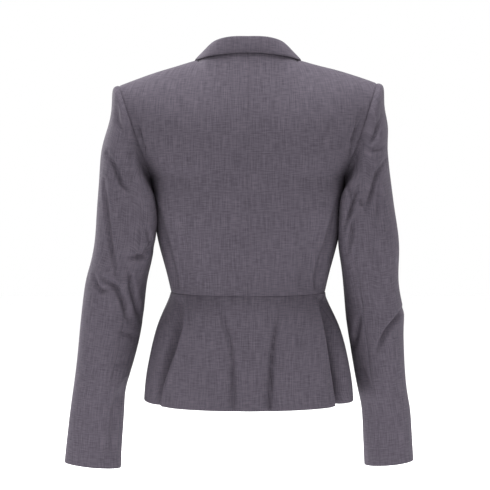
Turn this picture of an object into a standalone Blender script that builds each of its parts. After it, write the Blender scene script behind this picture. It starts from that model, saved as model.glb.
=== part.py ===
"""Fitted blazer with a peplum, in worn form: cloth walls lofted between seam lines.

Sizes in millimetres until the mesh is made. The back faces +Y, the wearer's left is +X, up is +Z.
The origin is in the middle of the neck, level with the inner ends of the shoulder seams.
"""
import math

import bmesh
import bpy
import numpy as np

for leftover in list(bpy.data.objects):
    bpy.data.objects.remove(leftover, do_unlink=True)

# Driving sizes
MM = 0.001
CLOTH = 1.6
COLLAR_CLOTH = 2.0
SEAM_GAP = 0.3
LAP_LIFT = 2.4
LAP_FULL = 24.0
LAP_BLEND = 75.0
LAP_BEHIND_Y = -50.0
SIDE_SEAM = 0.86
FRONT_BASE = 1.14
BACK_LEAD = 0.52
BACK_FOLLOW = 0.45
FRONT_LEAD = 0.44
FRONT_FOLLOW = 0.48
FRONT_SLOPE = 0.06

# Armhole: a tilted oval from the shoulder point down to the underarm
SHOULDER_POINT = np.array([205.0, 4.0, -36.0])
UNDERARM_POINT = np.array([150.0, 4.0, -192.0])
ARMHOLE_BACK = 60.0
ARMHOLE_FRONT = 58.0
SEAM_TOP_ANGLE = 153.0
FRONT_BASE_ANGLE = 212.0

# Body rings up to the underarm
RING_COLUMNS = ("height", "half_width", "back", "widest", "front", "back_dip", "back_full", "front_full")
BODY_RINGS = [
    (-364.0, 123.0, 84.0, 0.0, -104.0, 5.0, 0.58, 0.58),
    (-330.0, 131.0, 90.0, 1.0, -113.0, 2.0, 0.61, 0.60),
    (-300.0, 139.5, 97.0, -2.0, -122.0, 0.0, 0.66, 0.62),
    (-265.0, 147.0, 103.0, -4.0, -131.0, 0.0, 0.75, 0.62),
    (-230.0, 149.5, 107.0, -4.0, -135.0, 0.0, 0.83, 0.62),
]
UNDERARM_LEVEL = -186.0

# Back rows whose outer end is on the armhole
BACK_ROW_COLUMNS = ("level", "armhole_angle", "centre_y", "centre_z", "heading")
BACK_ROWS = [
    (-186.0, 153.0, 109.0, -187.0, 75.0),
    (-165.0, 135.0, 110.0, -168.0, 60.0),
    (-145.0, 115.0, 110.0, -147.0, 46.0),
    (-122.0, 95.0, 109.0, -125.0, 36.0),
]

# Front rows whose outer end is on the armhole and inner end on the front edge
FRONT_ROW_COLUMNS = ("level", "armhole_angle", "edge_x", "edge_y", "edge_z", "heading")
FRONT_ROWS = [
    (-186.0, 212.0, 26.0, -133.0, -190.0, 76.0),
    (-165.0, 230.0, 36.0, -128.0, -166.0, 62.0),
    (-145.0, 250.0, 45.0, -120.0, -140.0, 50.0),
    (-122.0, 270.0, 54.0, -108.0, -112.0, 40.0),
]

# Front edge below those rows: across the centre by the lap, then along the roll line
FRONT_EDGE_COLUMNS = ("height", "edge_x")
FRONT_EDGE = [
    (-364.0, -20.0),
    (-330.0, -20.0),
    (-300.0, -20.0),
    (-265.0, -5.0),
    (-230.0, 10.0),
]

# Upper end of the roll line, from the last front row to the neck point
ROLL_COLUMNS = ("x", "y", "z")
ROLL_LINE = [
    (54.0, -108.0, -112.0),
    (64.0, -86.0, -74.0),
    (71.0, -58.0, -40.0),
    (76.0, -26.0, -13.0),
    (78.0, 8.0, 6.0),
]

# Neck seam of the back, from the nape to the neck point
NECK_COLUMNS = ("x", "y", "z")
BACK_NECK = [
    (0.0, 60.0, 14.0),
    (28.0, 58.0, 13.0),
    (52.0, 47.0, 11.0),
    (69.0, 29.0, 9.0),
    (78.0, 8.0, 6.0),
]
SHOULDER_CROWN = 2.0
SHOULDER_CROWN_SKEW = 1.3
RIGHT_SHOULDER_LIFT = 4.0
LIFT_FROM_X = 80.0
LIFT_OVER_X = 120.0
LIFT_FROM_Z = -150.0
LIFT_OVER_Z = 100.0
NECK_PULL = np.array([0.0, -0.34, 0.85])
SHOULDER_PULL = np.array([0.0, -0.95, 0.12])
FRONT_PULL = np.array([0.0, 0.95, 0.12])
LEAN_FROM = 0.08
LEAN_OVER = 0.40
EDGE_EASE = 6
TOP_EASE = 4
NECK_SHARE = 0.40
NECK_STEPS = 5
SHOULDER_STEPS = 8
UPPER_ROWS = 7
LOWER_ROWS = 10
MIDDLE_ROWS = 4
ARM_STEPS = 5
CHEST_STEPS = 9

# Collar stations from the centre back towards the front
COLLAR_COLUMNS = ("seam_x", "seam_y", "seam_z", "fold_x", "fold_y", "fold_z", "edge_x", "edge_y", "edge_z")
COLLAR = [
    (0.0, 60.0, 14.0, 0.0, 57.0, 31.5, 0.0, 67.5, 3.5),
    (28.0, 58.0, 13.0, 24.0, 55.0, 31.5, 31.0, 64.0, 3.5),
    (52.0, 47.0, 11.0, 43.0, 45.0, 29.5, 57.0, 52.0, 3.5),
    (69.0, 29.0, 9.0, 55.0, 29.0, 26.0, 75.0, 32.0, 4.0),
    (78.0, 8.0, 6.0, 61.0, 9.0, 20.0, 84.0, 10.0, 5.0),
    (77.5, -14.0, -4.5, 66.5, -12.0, 6.0, 88.5, -14.0, -4.5),
    (73.0, -44.0, -28.0, 70.5, -43.5, -22.5, 91.0, -44.0, -27.0),
]
STAND_LIFT = 0.5
STAND_SHORT = 2
FALL_COLUMNS = ("along", "bulge")
FALL_SECTION = [
    (-0.05, -1.5),
    (-0.05, 1.2),
    (0.05, 2.8),
    (0.30, 3.0),
    (0.65, 2.2),
    (1.0, 1.0),
]
COLLAR_STEPS = 12

# Lapel: how far it reaches from the roll line, by share of the way from break to collar
LAPEL_COLUMNS = ("share", "reach")
LAPEL = [
    (0.0, 8.0),
    (0.25, 32.0),
    (0.5, 52.0),
    (0.75, 68.0),
    (0.9, 74.0),
    (1.0, 58.0),
]
LAPEL_BREAK = -302.0
LAPEL_TOP = -30.0
LAPEL_LEAST = 6.0
COVER_GAP = 2.0
LAPEL_LIFT = 0.7
LAPEL_STEPS = 6

# Peplum rings from the waist seam to the hem
PEPLUM_RINGS = [
    (-364.0, 123.0, 84.0, 0.0, -104.0, 5.0, 0.58, 0.58),
    (-379.0, 129.0, 91.0, 0.0, -110.0, 4.0, 0.59, 0.58),
    (-405.0, 140.0, 101.0, 0.0, -119.0, 2.0, 0.60, 0.59),
    (-432.0, 149.0, 109.0, 0.0, -124.0, 0.0, 0.61, 0.60),
    (-470.0, 158.0, 116.0, 0.0, -129.0, 0.0, 0.62, 0.61),
    (-507.0, 164.5, 121.0, 0.0, -132.0, 3.0, 0.62, 0.61),
    (-536.0, 167.0, 124.0, 0.0, -134.0, 5.0, 0.62, 0.61),
]
PEPLUM_EDGE_WAIST = -20.0
PEPLUM_EDGE_HEM = -6.0
PEPLUM_ROWS = 11
PEPLUM_STEPS = 20
FOLD_EASE = 12.0
FOLD_FULL = 0.85
FRONT_FOLD_Y = -20.0
FOLD_COLUMNS = ("x_top", "x_hem", "depth", "half_width", "start")
BACK_FOLDS_LEFT = [
    (46.0, 21.0, 7.0, 12.0, 0.08),
    (104.0, 135.0, 6.0, 13.0, 0.0),
]
BACK_FOLDS_RIGHT = [
    (46.0, 29.0, 8.0, 11.0, 0.08),
    (112.0, 141.0, 9.5, 10.0, 0.0),
]
FRONT_FOLDS = [
    (52.0, 70.0, 5.0, 14.0, 0.1),
    (100.0, 128.0, 5.0, 14.0, 0.05),
]

# Sleeve rings from the armhole to the cuff: outer point, inner point, middle, half depths
SLEEVE_COLUMNS = ("x_out", "z_out", "x_in", "z_in", "y_mid", "half_back", "half_front", "corner")
SLEEVE_LEFT = [
    (205.0, -36.0, 150.0, -192.0, 4.0, 60.0, 58.0, 0.0),
    (211.5, -37.5, 150.5, -194.0, 5.0, 61.5, 59.5, 0.0),
    (216.0, -47.0, 150.7, -197.0, 6.0, 62.5, 60.5, 0.0),
    (217.5, -74.0, 150.6, -202.0, 8.0, 62.5, 62.0, 2.0),
    (223.0, -104.0, 150.2, -209.0, 16.0, 58.0, 66.0, 6.0),
    (232.0, -140.0, 148.6, -219.0, 22.5, 53.5, 72.0, 11.0),
    (235.0, -185.0, 145.6, -234.0, 27.0, 50.0, 76.0, 12.0),
    (238.0, -232.0, 143.6, -255.0, 30.0, 47.0, 78.0, 11.0),
    (242.0, -281.0, 147.6, -287.0, 26.0, 47.5, 67.0, 9.0),
    (250.0, -320.0, 154.0, -320.0, 18.0, 48.0, 61.0, 6.0),
    (260.0, -358.0, 162.5, -358.0, 7.0, 50.0, 55.0, 3.0),
    (270.5, -434.0, 173.0, -434.0, -10.0, 48.0, 48.0, 0.0),
    (281.5, -512.0, 195.0, -512.0, -28.0, 43.0, 43.0, 0.0),
    (289.0, -556.0, 201.5, -556.0, -39.0, 39.0, 39.0, 0.0),
    (297.0, -610.0, 206.5, -612.0, -52.0, 36.0, 36.0, 0.0),
    (301.5, -647.0, 209.0, -656.0, -61.0, 35.0, 35.0, 0.0),
]
SLEEVE_RIGHT = [
    (205.0, -36.0, 150.0, -192.0, 4.0, 60.0, 58.0, 0.0),
    (211.5, -37.5, 150.5, -194.0, 5.0, 61.5, 59.5, 0.0),
    (216.0, -47.0, 150.7, -197.0, 6.0, 62.5, 60.5, 0.0),
    (217.0, -74.0, 150.6, -202.0, 8.0, 62.5, 62.0, 2.0),
    (221.5, -104.0, 150.2, -209.0, 16.0, 58.0, 66.0, 6.0),
    (221.0, -138.0, 148.6, -219.0, 22.5, 53.5, 72.0, 11.0),
    (225.0, -185.0, 145.6, -234.0, 27.0, 50.0, 76.0, 12.0),
    (231.0, -232.0, 143.4, -255.0, 30.0, 47.0, 78.0, 11.0),
    (238.5, -281.0, 142.8, -287.0, 26.0, 47.5, 67.0, 9.0),
    (239.0, -320.0, 147.4, -320.0, 18.0, 48.0, 61.0, 6.0),
    (241.0, -358.0, 152.3, -358.0, 7.0, 50.0, 55.0, 3.0),
    (249.5, -398.0, 156.5, -398.0, -3.0, 50.0, 50.0, 1.0),
    (250.0, -434.0, 162.0, -434.0, -10.0, 48.0, 48.0, 0.0),
    (256.0, -512.0, 176.0, -512.0, -28.0, 44.0, 44.0, 0.0),
    (264.0, -556.0, 185.0, -556.0, -39.0, 41.0, 41.0, 0.0),
    (269.5, -606.0, 189.0, -608.0, -52.0, 39.5, 39.5, 0.0),
    (272.5, -643.0, 191.5, -651.0, -61.0, 38.5, 38.5, 0.0),
]
SLEEVE_ROWS = 24
UPPER_SLEEVE = (-125.0, 118.0)
UNDER_SLEEVE = (118.0, 235.0)
UPPER_STEPS = 18
UNDER_STEPS = 9
SEAM_LOOK = 1.0
SLEEVE_CLEAR = 0.05
SIDE_CLEAR = 1.0
SIDE_CLEAR_BELOW = -203.0
UNDERARM_CLEAR = 1.2
UNDERARM_FROM = -230.0
UNDERARM_RISE = 16.0
SIDE_LEVELS = 24
SIDE_POINTS = 160
MIX_FROM = 105.0
MIX_OVER = 45.0

# Button on the front
BUTTON_RADIUS = 10.0
BUTTON_THICK = 3.6
BUTTON_HEIGHT = -318.0
BUTTON_SIDES = 28
BUTTON_GAP = 0.3
BUTTON_ROUGH = 0.4

# Points inside the body and the peplum, and the surface colours
BODY_CENTRE = np.array([0.0, -10.0, -200.0])
PEPLUM_CENTRE = np.array([0.0, -10.0, -450.0])
GREY = (0.105, 0.098, 0.108)
CLOTH_ROUGH = 0.85
BUTTON_GREY = (0.05, 0.047, 0.052)


def spline(knots, values, places):
    """Natural cubic spline through values at the knots, read at the given places."""
    knots = np.asarray(knots, float)
    values = np.asarray(values, float)
    shape = values.shape[1:]
    flat = values.reshape(len(knots), -1)
    count = len(knots)
    step = np.diff(knots)
    slope = np.diff(flat, axis=0) / step[:, None]
    system = np.eye(count)
    right = np.zeros_like(flat)
    for row in range(1, count - 1):
        system[row, row - 1] = step[row - 1]
        system[row, row] = 2.0 * (step[row - 1] + step[row])
        system[row, row + 1] = step[row]
        right[row] = 6.0 * (slope[row] - slope[row - 1])
    bend = np.linalg.solve(system, right)
    places = np.asarray(places, float)
    span = np.clip(np.searchsorted(knots, places) - 1, 0, count - 2)
    width = step[span][:, None]
    after = (knots[span + 1] - places)[:, None]
    before = (places - knots[span])[:, None]
    result = (bend[span] * after**3 + bend[span + 1] * before**3) / (6.0 * width)
    result += (flat[span] / width - bend[span] * width / 6.0) * after
    result += (flat[span + 1] / width - bend[span + 1] * width / 6.0) * before
    return result.reshape((len(places),) + shape)


def even_spline(rows, count):
    """Points along a spline through a table's rows, spaced by share of the row number."""
    knots = np.arange(len(rows), dtype=float)
    return spline(knots, rows, np.linspace(0.0, len(rows) - 1.0, count))


def along_line(points, distances):
    """Points at given distances along a polyline."""
    lengths = np.linalg.norm(np.diff(points, axis=0), axis=1)
    travelled = np.concatenate([[0.0], np.cumsum(lengths)])
    return np.stack([np.interp(distances, travelled, points[:, axis]) for axis in range(3)], axis=1)


def bezier(start, lead, follow, end, share):
    """Cubic curve from start to end with two handle points."""
    share = np.asarray(share, float)[:, None]
    rest = 1.0 - share
    return rest**3 * start + 3 * rest**2 * share * lead + 3 * rest * share**2 * follow + share**3 * end


def smooth(value):
    """Soft step from 0 to 1."""
    value = np.clip(value, 0.0, 1.0)
    return value * value * (3.0 - 2.0 * value)


def ring_points(ring, turn):
    """Points of half a body ring: turn 0 is centre back, 1 the widest point, 2 centre front."""
    height, half_width, back, widest, front, back_dip, back_full, front_full = ring
    turn = np.asarray(turn, float)
    rear = bezier(
        np.array([0.0, back]),
        np.array([back_full * half_width, back]),
        np.array([half_width, widest + back_full * (back - widest)]),
        np.array([half_width, widest]),
        np.clip(turn, 0.0, 1.0),
    )
    fore = bezier(
        np.array([half_width, widest]),
        np.array([half_width, widest + front_full * (front - widest)]),
        np.array([front_full * half_width, front]),
        np.array([0.0, front]),
        np.clip(turn - 1.0, 0.0, 1.0),
    )
    flat = np.where((turn <= 1.0)[:, None], rear, fore)
    level = height - back_dip * np.clip(flat[:, 1] / back, 0.0, 1.0)
    return np.column_stack([flat, level])


def front_part(ring, edge_x, shares):
    """Points of a ring from the front base to the front edge, evenly spaced across."""
    dense = ring_points(ring, np.linspace(FRONT_BASE, 2.0, 120))
    across = dense[0, 0] + (edge_x - dense[0, 0]) * np.asarray(shares)
    order = np.argsort(dense[:, 0])
    depth = np.interp(np.abs(across), dense[order, 0], dense[order, 1])
    return np.column_stack([across, depth, np.full(len(across), ring[0])])


ARM_CENTRE = (SHOULDER_POINT + UNDERARM_POINT) / 2.0
ARM_HALF = (SHOULDER_POINT - UNDERARM_POINT) / 2.0
ARM_UP = ARM_HALF / np.linalg.norm(ARM_HALF)
ARM_OUT = np.array([ARM_UP[2], 0.0, -ARM_UP[0]])


def armhole(angle):
    """Points of the armhole seam: 0 degrees at the shoulder, 90 at the back, 180 at the underarm."""
    turn = np.radians(np.asarray(angle, float))
    depth = np.where(np.sin(turn) > 0.0, ARMHOLE_BACK, ARMHOLE_FRONT)
    points = ARM_CENTRE + np.cos(turn)[:, None] * ARM_HALF
    points[:, 1] += np.sin(turn) * depth
    return points


def row_heights():
    """Level of every mesh row from the waist to the armhole's widest rows."""
    first = np.linspace(BODY_RINGS[0][0], UNDERARM_LEVEL, LOWER_ROWS + 1)
    second = np.linspace(UNDERARM_LEVEL, BACK_ROWS[-1][0], MIDDLE_ROWS + 1)
    return np.concatenate([first, second[1:]])


def row_angles(table):
    """Armhole angle of each mesh row that ends on the armhole, up to the table's last row."""
    knots = [row[0] for row in table]
    angles = [[row[1]] for row in table]
    return spline(knots, angles, row_heights()[LOWER_ROWS:])[:, 0]


def side_seam_line():
    """Side seam shared by back and front, from the waist to the armhole."""
    knots = [ring[0] for ring in BODY_RINGS] + [UNDERARM_LEVEL]
    points = [ring_points(ring, [SIDE_SEAM])[0] for ring in BODY_RINGS]
    points.append(armhole([SEAM_TOP_ANGLE])[0])
    return spline(knots, points, row_heights()[: LOWER_ROWS + 1])


def hermite(start, start_pull, end, end_pull, share):
    """Cubic curve with given end pulls."""
    return (
        (2 * share**3 - 3 * share**2 + 1) * start
        + (share**3 - 2 * share**2 + share) * start_pull
        + (-2 * share**3 + 3 * share**2) * end
        + (share**3 - share**2) * end_pull
    )


def shoulder_line(shares):
    """Shoulder seam from the neck point to the shoulder point, slightly crowned."""
    shares = np.asarray(shares, float)[:, None]
    neck = np.array(BACK_NECK[-1])
    line = neck + (SHOULDER_POINT - neck) * shares
    line[:, 2] += SHOULDER_CROWN * np.sin(math.pi * shares[:, 0] ** SHOULDER_CROWN_SKEW)
    return line


def back_shares():
    """Column places of the back, with one column on the neck point."""
    neck = np.linspace(0.0, NECK_SHARE, NECK_STEPS + 1)
    shoulder = np.linspace(NECK_SHARE, 1.0, SHOULDER_STEPS + 1)
    return np.concatenate([neck, shoulder[1:]])


def pull_edge(grid, rows, column, target, weights):
    """Moves one column onto its seam line and eases its neighbours along."""
    for row, point in zip(rows, target):
        shift = point - grid[row, column]
        grid[row] += weights[:, None] * shift


def rise_to_top(base, below, top, end_pull, shares, edge_angles, other_edge=None):
    """Rows from the chest or shoulder-blade row up over the shoulder."""
    lift = base - below
    lift /= np.linalg.norm(lift, axis=1)[:, None]
    chord = np.linalg.norm(top - base, axis=1)[:, None]
    weights = shares**TOP_EASE
    rows = []
    for step in range(1, UPPER_ROWS + 1):
        share = step / UPPER_ROWS
        line = hermite(base, lift * chord, top, end_pull * chord, share)
        angle = edge_angles[0] + (edge_angles[1] - edge_angles[0]) * share
        line += weights[:, None] * (armhole([angle])[0] - line[-1])
        if other_edge is not None:
            line += ((1.0 - shares) ** TOP_EASE)[:, None] * (other_edge(share) - line[0])
        rows.append(line)
    return np.array(rows)


def back_panel():
    """Left back panel: rows from the waist up, columns from the centre back to the side."""
    shares = back_shares()
    knots = [ring[0] for ring in BODY_RINGS]
    keys = [ring_points(ring, SIDE_SEAM * shares) for ring in BODY_RINGS]
    for level, angle, centre_y, centre_z, heading in BACK_ROWS:
        end = armhole([angle])[0]
        start = np.array([0.0, centre_y, centre_z])
        turn = math.radians(heading)
        lead = start + np.array([BACK_LEAD * end[0], 0.0, 0.0])
        follow = end - BACK_FOLLOW * end[0] * np.array([math.cos(turn), -math.sin(turn), 0.0])
        knots.append(level)
        keys.append(bezier(start, lead, follow, end, shares))
    levels = row_heights()
    grid = spline(knots, keys, levels)
    weights = shares**EDGE_EASE
    pull_edge(grid, range(LOWER_ROWS + 1), -1, side_seam_line(), weights)
    pull_edge(grid, range(LOWER_ROWS, len(levels)), -1, armhole(row_angles(BACK_ROWS)), weights)
    neck = even_spline(BACK_NECK, NECK_STEPS + 1)
    top = np.vstack([neck, shoulder_line(np.linspace(0.0, 1.0, SHOULDER_STEPS + 1))[1:]])
    lean = smooth((shares - LEAN_FROM) / LEAN_OVER)[:, None]
    end_pull = (1.0 - lean) * NECK_PULL + lean * SHOULDER_PULL
    upper = rise_to_top(grid[-1], grid[-2], top, end_pull, shares, (BACK_ROWS[-1][1], 0.0))
    return np.concatenate([grid, upper])


def front_panel():
    """Left front panel: columns from the side seam round to the front edge.

    The first columns stop at the armhole's lower arc, so the panel is an L of cells.
    """
    chest = np.linspace(0.0, 1.0, CHEST_STEPS + 1)
    levels = row_heights()
    knots = [ring[0] for ring in BODY_RINGS] + [UNDERARM_LEVEL]
    arm_keys = []
    chest_keys = []
    for ring, edge in zip(BODY_RINGS, FRONT_EDGE):
        arm_keys.append(ring_points(ring, np.linspace(SIDE_SEAM, FRONT_BASE, ARM_STEPS + 1)))
        chest_keys.append(front_part(ring, edge[1], chest))
    arm_keys.append(armhole(np.linspace(SEAM_TOP_ANGLE, FRONT_BASE_ANGLE, ARM_STEPS + 1)))
    arm_grid = spline(knots, arm_keys, levels[: LOWER_ROWS + 1])
    chest_knots = knots[:-1]
    for level, angle, edge_x, edge_y, edge_z, heading in FRONT_ROWS:
        start = armhole([angle])[0]
        end = np.array([edge_x, edge_y, edge_z])
        turn = math.radians(heading)
        reach = start[0] - edge_x
        lead = start + FRONT_LEAD * reach * np.array([-math.cos(turn), -math.sin(turn), 0.0])
        follow = end + FRONT_FOLLOW * reach * np.array([1.0, FRONT_SLOPE, 0.0])
        chest_knots.append(level)
        chest_keys.append(bezier(start, lead, follow, end, chest))
    grid = spline(chest_knots, chest_keys, levels)
    weights = (1.0 - chest) ** EDGE_EASE
    pull_edge(grid, range(LOWER_ROWS + 1), 0, arm_grid[:, -1], weights)
    pull_edge(grid, range(LOWER_ROWS, len(levels)), 0, armhole(row_angles(FRONT_ROWS)), weights)
    top = shoulder_line(1.0 - chest)
    end_pull = np.tile(FRONT_PULL, (len(chest), 1))
    roll = even_spline(ROLL_LINE, 60)

    def roll_edge(share):
        return along_line(roll, [share * np.sum(np.linalg.norm(np.diff(roll, axis=0), axis=1))])[0]

    flipped = rise_to_top(
        grid[-1][::-1], grid[-2][::-1], top[::-1], end_pull, 1.0 - chest[::-1],
        (FRONT_ROWS[-1][1], 360.0), roll_edge,
    )
    grid = np.concatenate([grid, flipped[:, ::-1]])
    rows = len(grid)
    whole = np.zeros((rows, ARM_STEPS + CHEST_STEPS + 1, 3))
    whole[:, ARM_STEPS:] = grid
    whole[: LOWER_ROWS + 1, :ARM_STEPS] = arm_grid[:, :-1]
    whole[LOWER_ROWS + 1 :, :ARM_STEPS] = whole[LOWER_ROWS, :ARM_STEPS]
    cells = np.ones((rows - 1, ARM_STEPS + CHEST_STEPS), bool)
    cells[LOWER_ROWS:, :ARM_STEPS] = False
    return whole, cells


def lift_lap(grid):
    """Moves the overlapping front outwards near the centre."""
    lifted = grid.copy()
    share = smooth((LAP_BLEND - grid[:, :, 0]) / (LAP_BLEND - LAP_FULL))
    share *= grid[:, :, 1] < LAP_BEHIND_Y
    lifted[:, :, 1] -= LAP_LIFT * share
    return lifted


def peplum_panel(first_turn, last_turn, folds, edges=None):
    """Left peplum panel between two places on its rings, with its folds."""
    shares = np.linspace(0.0, 1.0, PEPLUM_STEPS + 1)
    keys = []
    for ring in PEPLUM_RINGS:
        if edges is None:
            keys.append(ring_points(ring, first_turn + (last_turn - first_turn) * shares))
        else:
            down = (PEPLUM_RINGS[0][0] - ring[0]) / (PEPLUM_RINGS[0][0] - PEPLUM_RINGS[-1][0])
            edge_x = edges[0] + (edges[1] - edges[0]) * down
            arm = ring_points(ring, np.linspace(first_turn, FRONT_BASE, PEPLUM_STEPS // 3 + 1))
            rest = front_part(ring, edge_x, np.linspace(0.0, 1.0, PEPLUM_STEPS - PEPLUM_STEPS // 3 + 1))
            keys.append(np.vstack([arm[:-1], rest]))
    knots = [-ring[0] for ring in PEPLUM_RINGS]
    places = np.linspace(knots[0], knots[-1], PEPLUM_ROWS + 1)
    grid = spline(knots, keys, places)
    down = (places - places[0]) / (places[-1] - places[0])
    normals = grid_normals(grid)
    if normals[:, :, 0].mean() < 0.0:
        normals = -normals
    for x_top, x_hem, depth, half_width, start in folds:
        middle = x_top + (x_hem - x_top) * down
        ramp = smooth((down - start) / (FOLD_FULL - start)) * depth
        trough = np.exp(-(((grid[:, :, 0] - middle[:, None]) / half_width) ** 2))
        if edges is None:
            trough *= smooth(grid[:, :, 0] / FOLD_EASE)
        else:
            trough *= grid[:, :, 1] < FRONT_FOLD_Y
        grid = grid - normals * (ramp[:, None] * trough)[:, :, None]
    return grid


def sleeve_rings(table):
    """Sleeve rings from the armhole to the cuff as tilted ovals, read from a spline of the table."""
    return even_spline(table, SLEEVE_ROWS + 1)


def clear_of_side(points):
    """Sleeve points moved out to the body's side where the sleeve is pressed against it."""
    knots = [ring[0] for ring in BODY_RINGS]
    levels = np.linspace(knots[0], knots[-1], SIDE_LEVELS)
    nearest = np.clip(np.searchsorted(levels, points[:, 2]), 1, SIDE_LEVELS - 1)
    share = np.clip((points[:, 2] - levels[nearest - 1]) / (levels[1] - levels[0]), 0.0, 1.0)
    reach = []
    for ring in spline(knots, BODY_RINGS, levels):
        side = ring_points(ring, np.linspace(2.0, 0.0, SIDE_POINTS))
        reach.append(np.interp(points[:, 1], side[:, 1], side[:, 0]))
    reach = np.array(reach)
    number = np.arange(len(points))
    limit = reach[nearest - 1, number] * (1.0 - share) + reach[nearest, number] * share + SIDE_CLEAR
    limit += UNDERARM_CLEAR * smooth((points[:, 2] - UNDERARM_FROM) / UNDERARM_RISE)
    pressed = points.copy()
    pressed[:, 0] = np.where(points[:, 2] < SIDE_CLEAR_BELOW, np.maximum(points[:, 0], limit), points[:, 0])
    return pressed


def sleeve_panel(table, angles):
    """Sleeve points at the given angles round every ring."""
    turn = np.radians(angles)
    grid = []
    square = np.where((np.cos(turn) < 0.0) & (np.sin(turn) > 0.0), np.sin(2.0 * turn) ** 2, 0.0)
    for x_out, z_out, x_in, z_in, y_mid, half_back, half_front, corner in sleeve_rings(table):
        outer = np.array([x_out, y_mid, z_out])
        inner = np.array([x_in, y_mid, z_in])
        depth = np.where(np.sin(turn) > 0.0, half_back, half_front)
        points = (outer + inner) / 2.0 + np.cos(turn)[:, None] * (outer - inner) / 2.0
        points[:, 0] -= corner * square
        points[:, 1] += np.sin(turn) * depth + corner * square
        grid.append(clear_of_side(points))
    grid = np.array(grid)
    grid[0] += ARM_OUT * (SEAM_GAP + SLEEVE_CLEAR)
    return grid


def grid_normals(grid):
    """Unit normals of a grid of points."""
    across = np.gradient(grid, axis=1)
    upward = np.gradient(grid, axis=0)
    normals = np.cross(across, upward)
    size = np.linalg.norm(normals, axis=2)[:, :, None]
    return normals / np.where(size > 1e-9, size, 1.0)


def trimmed(grid, sides):
    """Draws the named edges of a grid back by half a seam gap."""
    result = grid.copy()
    moves = {
        "first_column": (np.s_[:, 0], np.s_[:, 1]),
        "last_column": (np.s_[:, -1], np.s_[:, -2]),
        "first_row": (np.s_[0], np.s_[1]),
        "last_row": (np.s_[-1], np.s_[-2]),
    }
    for side in sides:
        edge, beside = moves[side]
        step = result[beside] - result[edge]
        length = np.linalg.norm(step, axis=1)[:, None]
        result[edge] = result[edge] + step / np.where(length > 1e-9, length, 1.0) * SEAM_GAP / 2.0
    return result


def make_material(name, colour, roughness):
    """Plain surface material."""
    material = bpy.data.materials.new(name)
    material.use_nodes = True
    shader = material.node_tree.nodes["Principled BSDF"]
    shader.inputs["Base Color"].default_value = (*colour, 1.0)
    shader.inputs["Roughness"].default_value = roughness
    shader.inputs["Metallic"].default_value = 0.0
    return material


def add_object(name, vertices, faces, colour, roughness):
    """Mesh object from points in millimetres, closed and facing outwards."""
    mesh = bpy.data.meshes.new(name)
    shell = bmesh.new()
    made = [shell.verts.new(point * MM) for point in np.asarray(vertices)]
    for face in faces:
        shell.faces.new([made[corner] for corner in face])
    bmesh.ops.triangulate(shell, faces=shell.faces)
    bmesh.ops.recalc_face_normals(shell, faces=shell.faces)
    shell.to_mesh(mesh)
    shell.free()
    item = bpy.data.objects.new(name, mesh)
    bpy.context.scene.collection.objects.link(item)
    mesh.materials.append(make_material(name, colour, roughness))
    return item


def add_wall(name, outer, inner, colour, cells=None):
    """Closed cloth wall between an outer and an inner grid."""
    rows, columns = outer.shape[:2]
    if cells is None:
        cells = np.ones((rows - 1, columns - 1), bool)
    number = {}
    vertices = []

    def corner(layer, row, column):
        key = (layer, row, column)
        if key not in number:
            number[key] = len(vertices)
            vertices.append((outer if layer == 0 else inner)[row, column])
        return number[key]

    faces = []
    edges = {}
    for row in range(rows - 1):
        for column in range(columns - 1):
            if not cells[row, column]:
                continue
            loop = [(row, column), (row, column + 1), (row + 1, column + 1), (row + 1, column)]
            faces.append([corner(0, *place) for place in loop])
            faces.append([corner(1, *place) for place in reversed(loop)])
            for start, end in zip(loop, loop[1:] + loop[:1]):
                key = tuple(sorted((start, end)))
                edges.setdefault(key, []).append((start, end))
    for used in edges.values():
        if len(used) == 1:
            start, end = used[0]
            faces.append([corner(0, *end), corner(0, *start), corner(1, *start), corner(1, *end)])
    return add_object(name, vertices, faces, colour, CLOTH_ROUGH)


def mirrored(grid):
    """The same grid on the wearer's right, where the shoulder sits a little higher."""
    result = grid * np.array([-1.0, 1.0, 1.0])
    outer_part = smooth((grid[..., 0] - LIFT_FROM_X) / LIFT_OVER_X)
    upper_part = smooth((grid[..., 2] - LIFT_FROM_Z) / LIFT_OVER_Z)
    result[..., 2] += RIGHT_SHOULDER_LIFT * outer_part * upper_part
    return result


def outward(grid, normals, centre):
    """Normals turned away from a centre line point."""
    away = np.sum(normals * (grid - centre), axis=2)
    return normals if away.mean() > 0.0 else -normals


def seam_mix(angle):
    """How far the two walls at the armhole share one edge direction: 1 on top, 0 at the underarm."""
    away = np.abs(((np.asarray(angle, float) + 180.0) % 360.0) - 180.0)
    return 1.0 - smooth((away - MIX_FROM) / MIX_OVER)


def unit(vectors):
    """Vectors of length one."""
    return vectors / np.linalg.norm(vectors, axis=-1)[..., None]


def sleeve_edge_normals(table):
    """Sleeve wall normals at the armhole, by whole degree."""
    turn = np.arange(0.0, 361.0, 3.0)
    grid = sleeve_panel(table, turn)
    normals = grid_normals(grid[:4])[0]
    if normals[0, 0] < 0.0:
        normals = -normals
    normals[-1] = normals[0] = unit(normals[0] + normals[-1])
    return turn, normals


def read_normals(turn, normals, angles):
    """Normals at given angles."""
    angles = np.asarray(angles, float) % 360.0
    return unit(np.stack([np.interp(angles, turn, normals[:, axis]) for axis in range(3)], axis=-1))


# Body panels and the directions of their armhole edges
back = back_panel()
back_normals = outward(back, grid_normals(back), BODY_CENTRE)
front, front_cells = front_panel()
front_normals = np.zeros_like(front)
front_normals[:, ARM_STEPS:] = grid_normals(front[:, ARM_STEPS:])
arm_normals = grid_normals(front[: LOWER_ROWS + 1])
front_normals[: LOWER_ROWS + 1, : ARM_STEPS + 1] = arm_normals[:, : ARM_STEPS + 1]
if front_normals[0, -1, 1] > 0.0:
    front_normals = -front_normals

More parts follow.
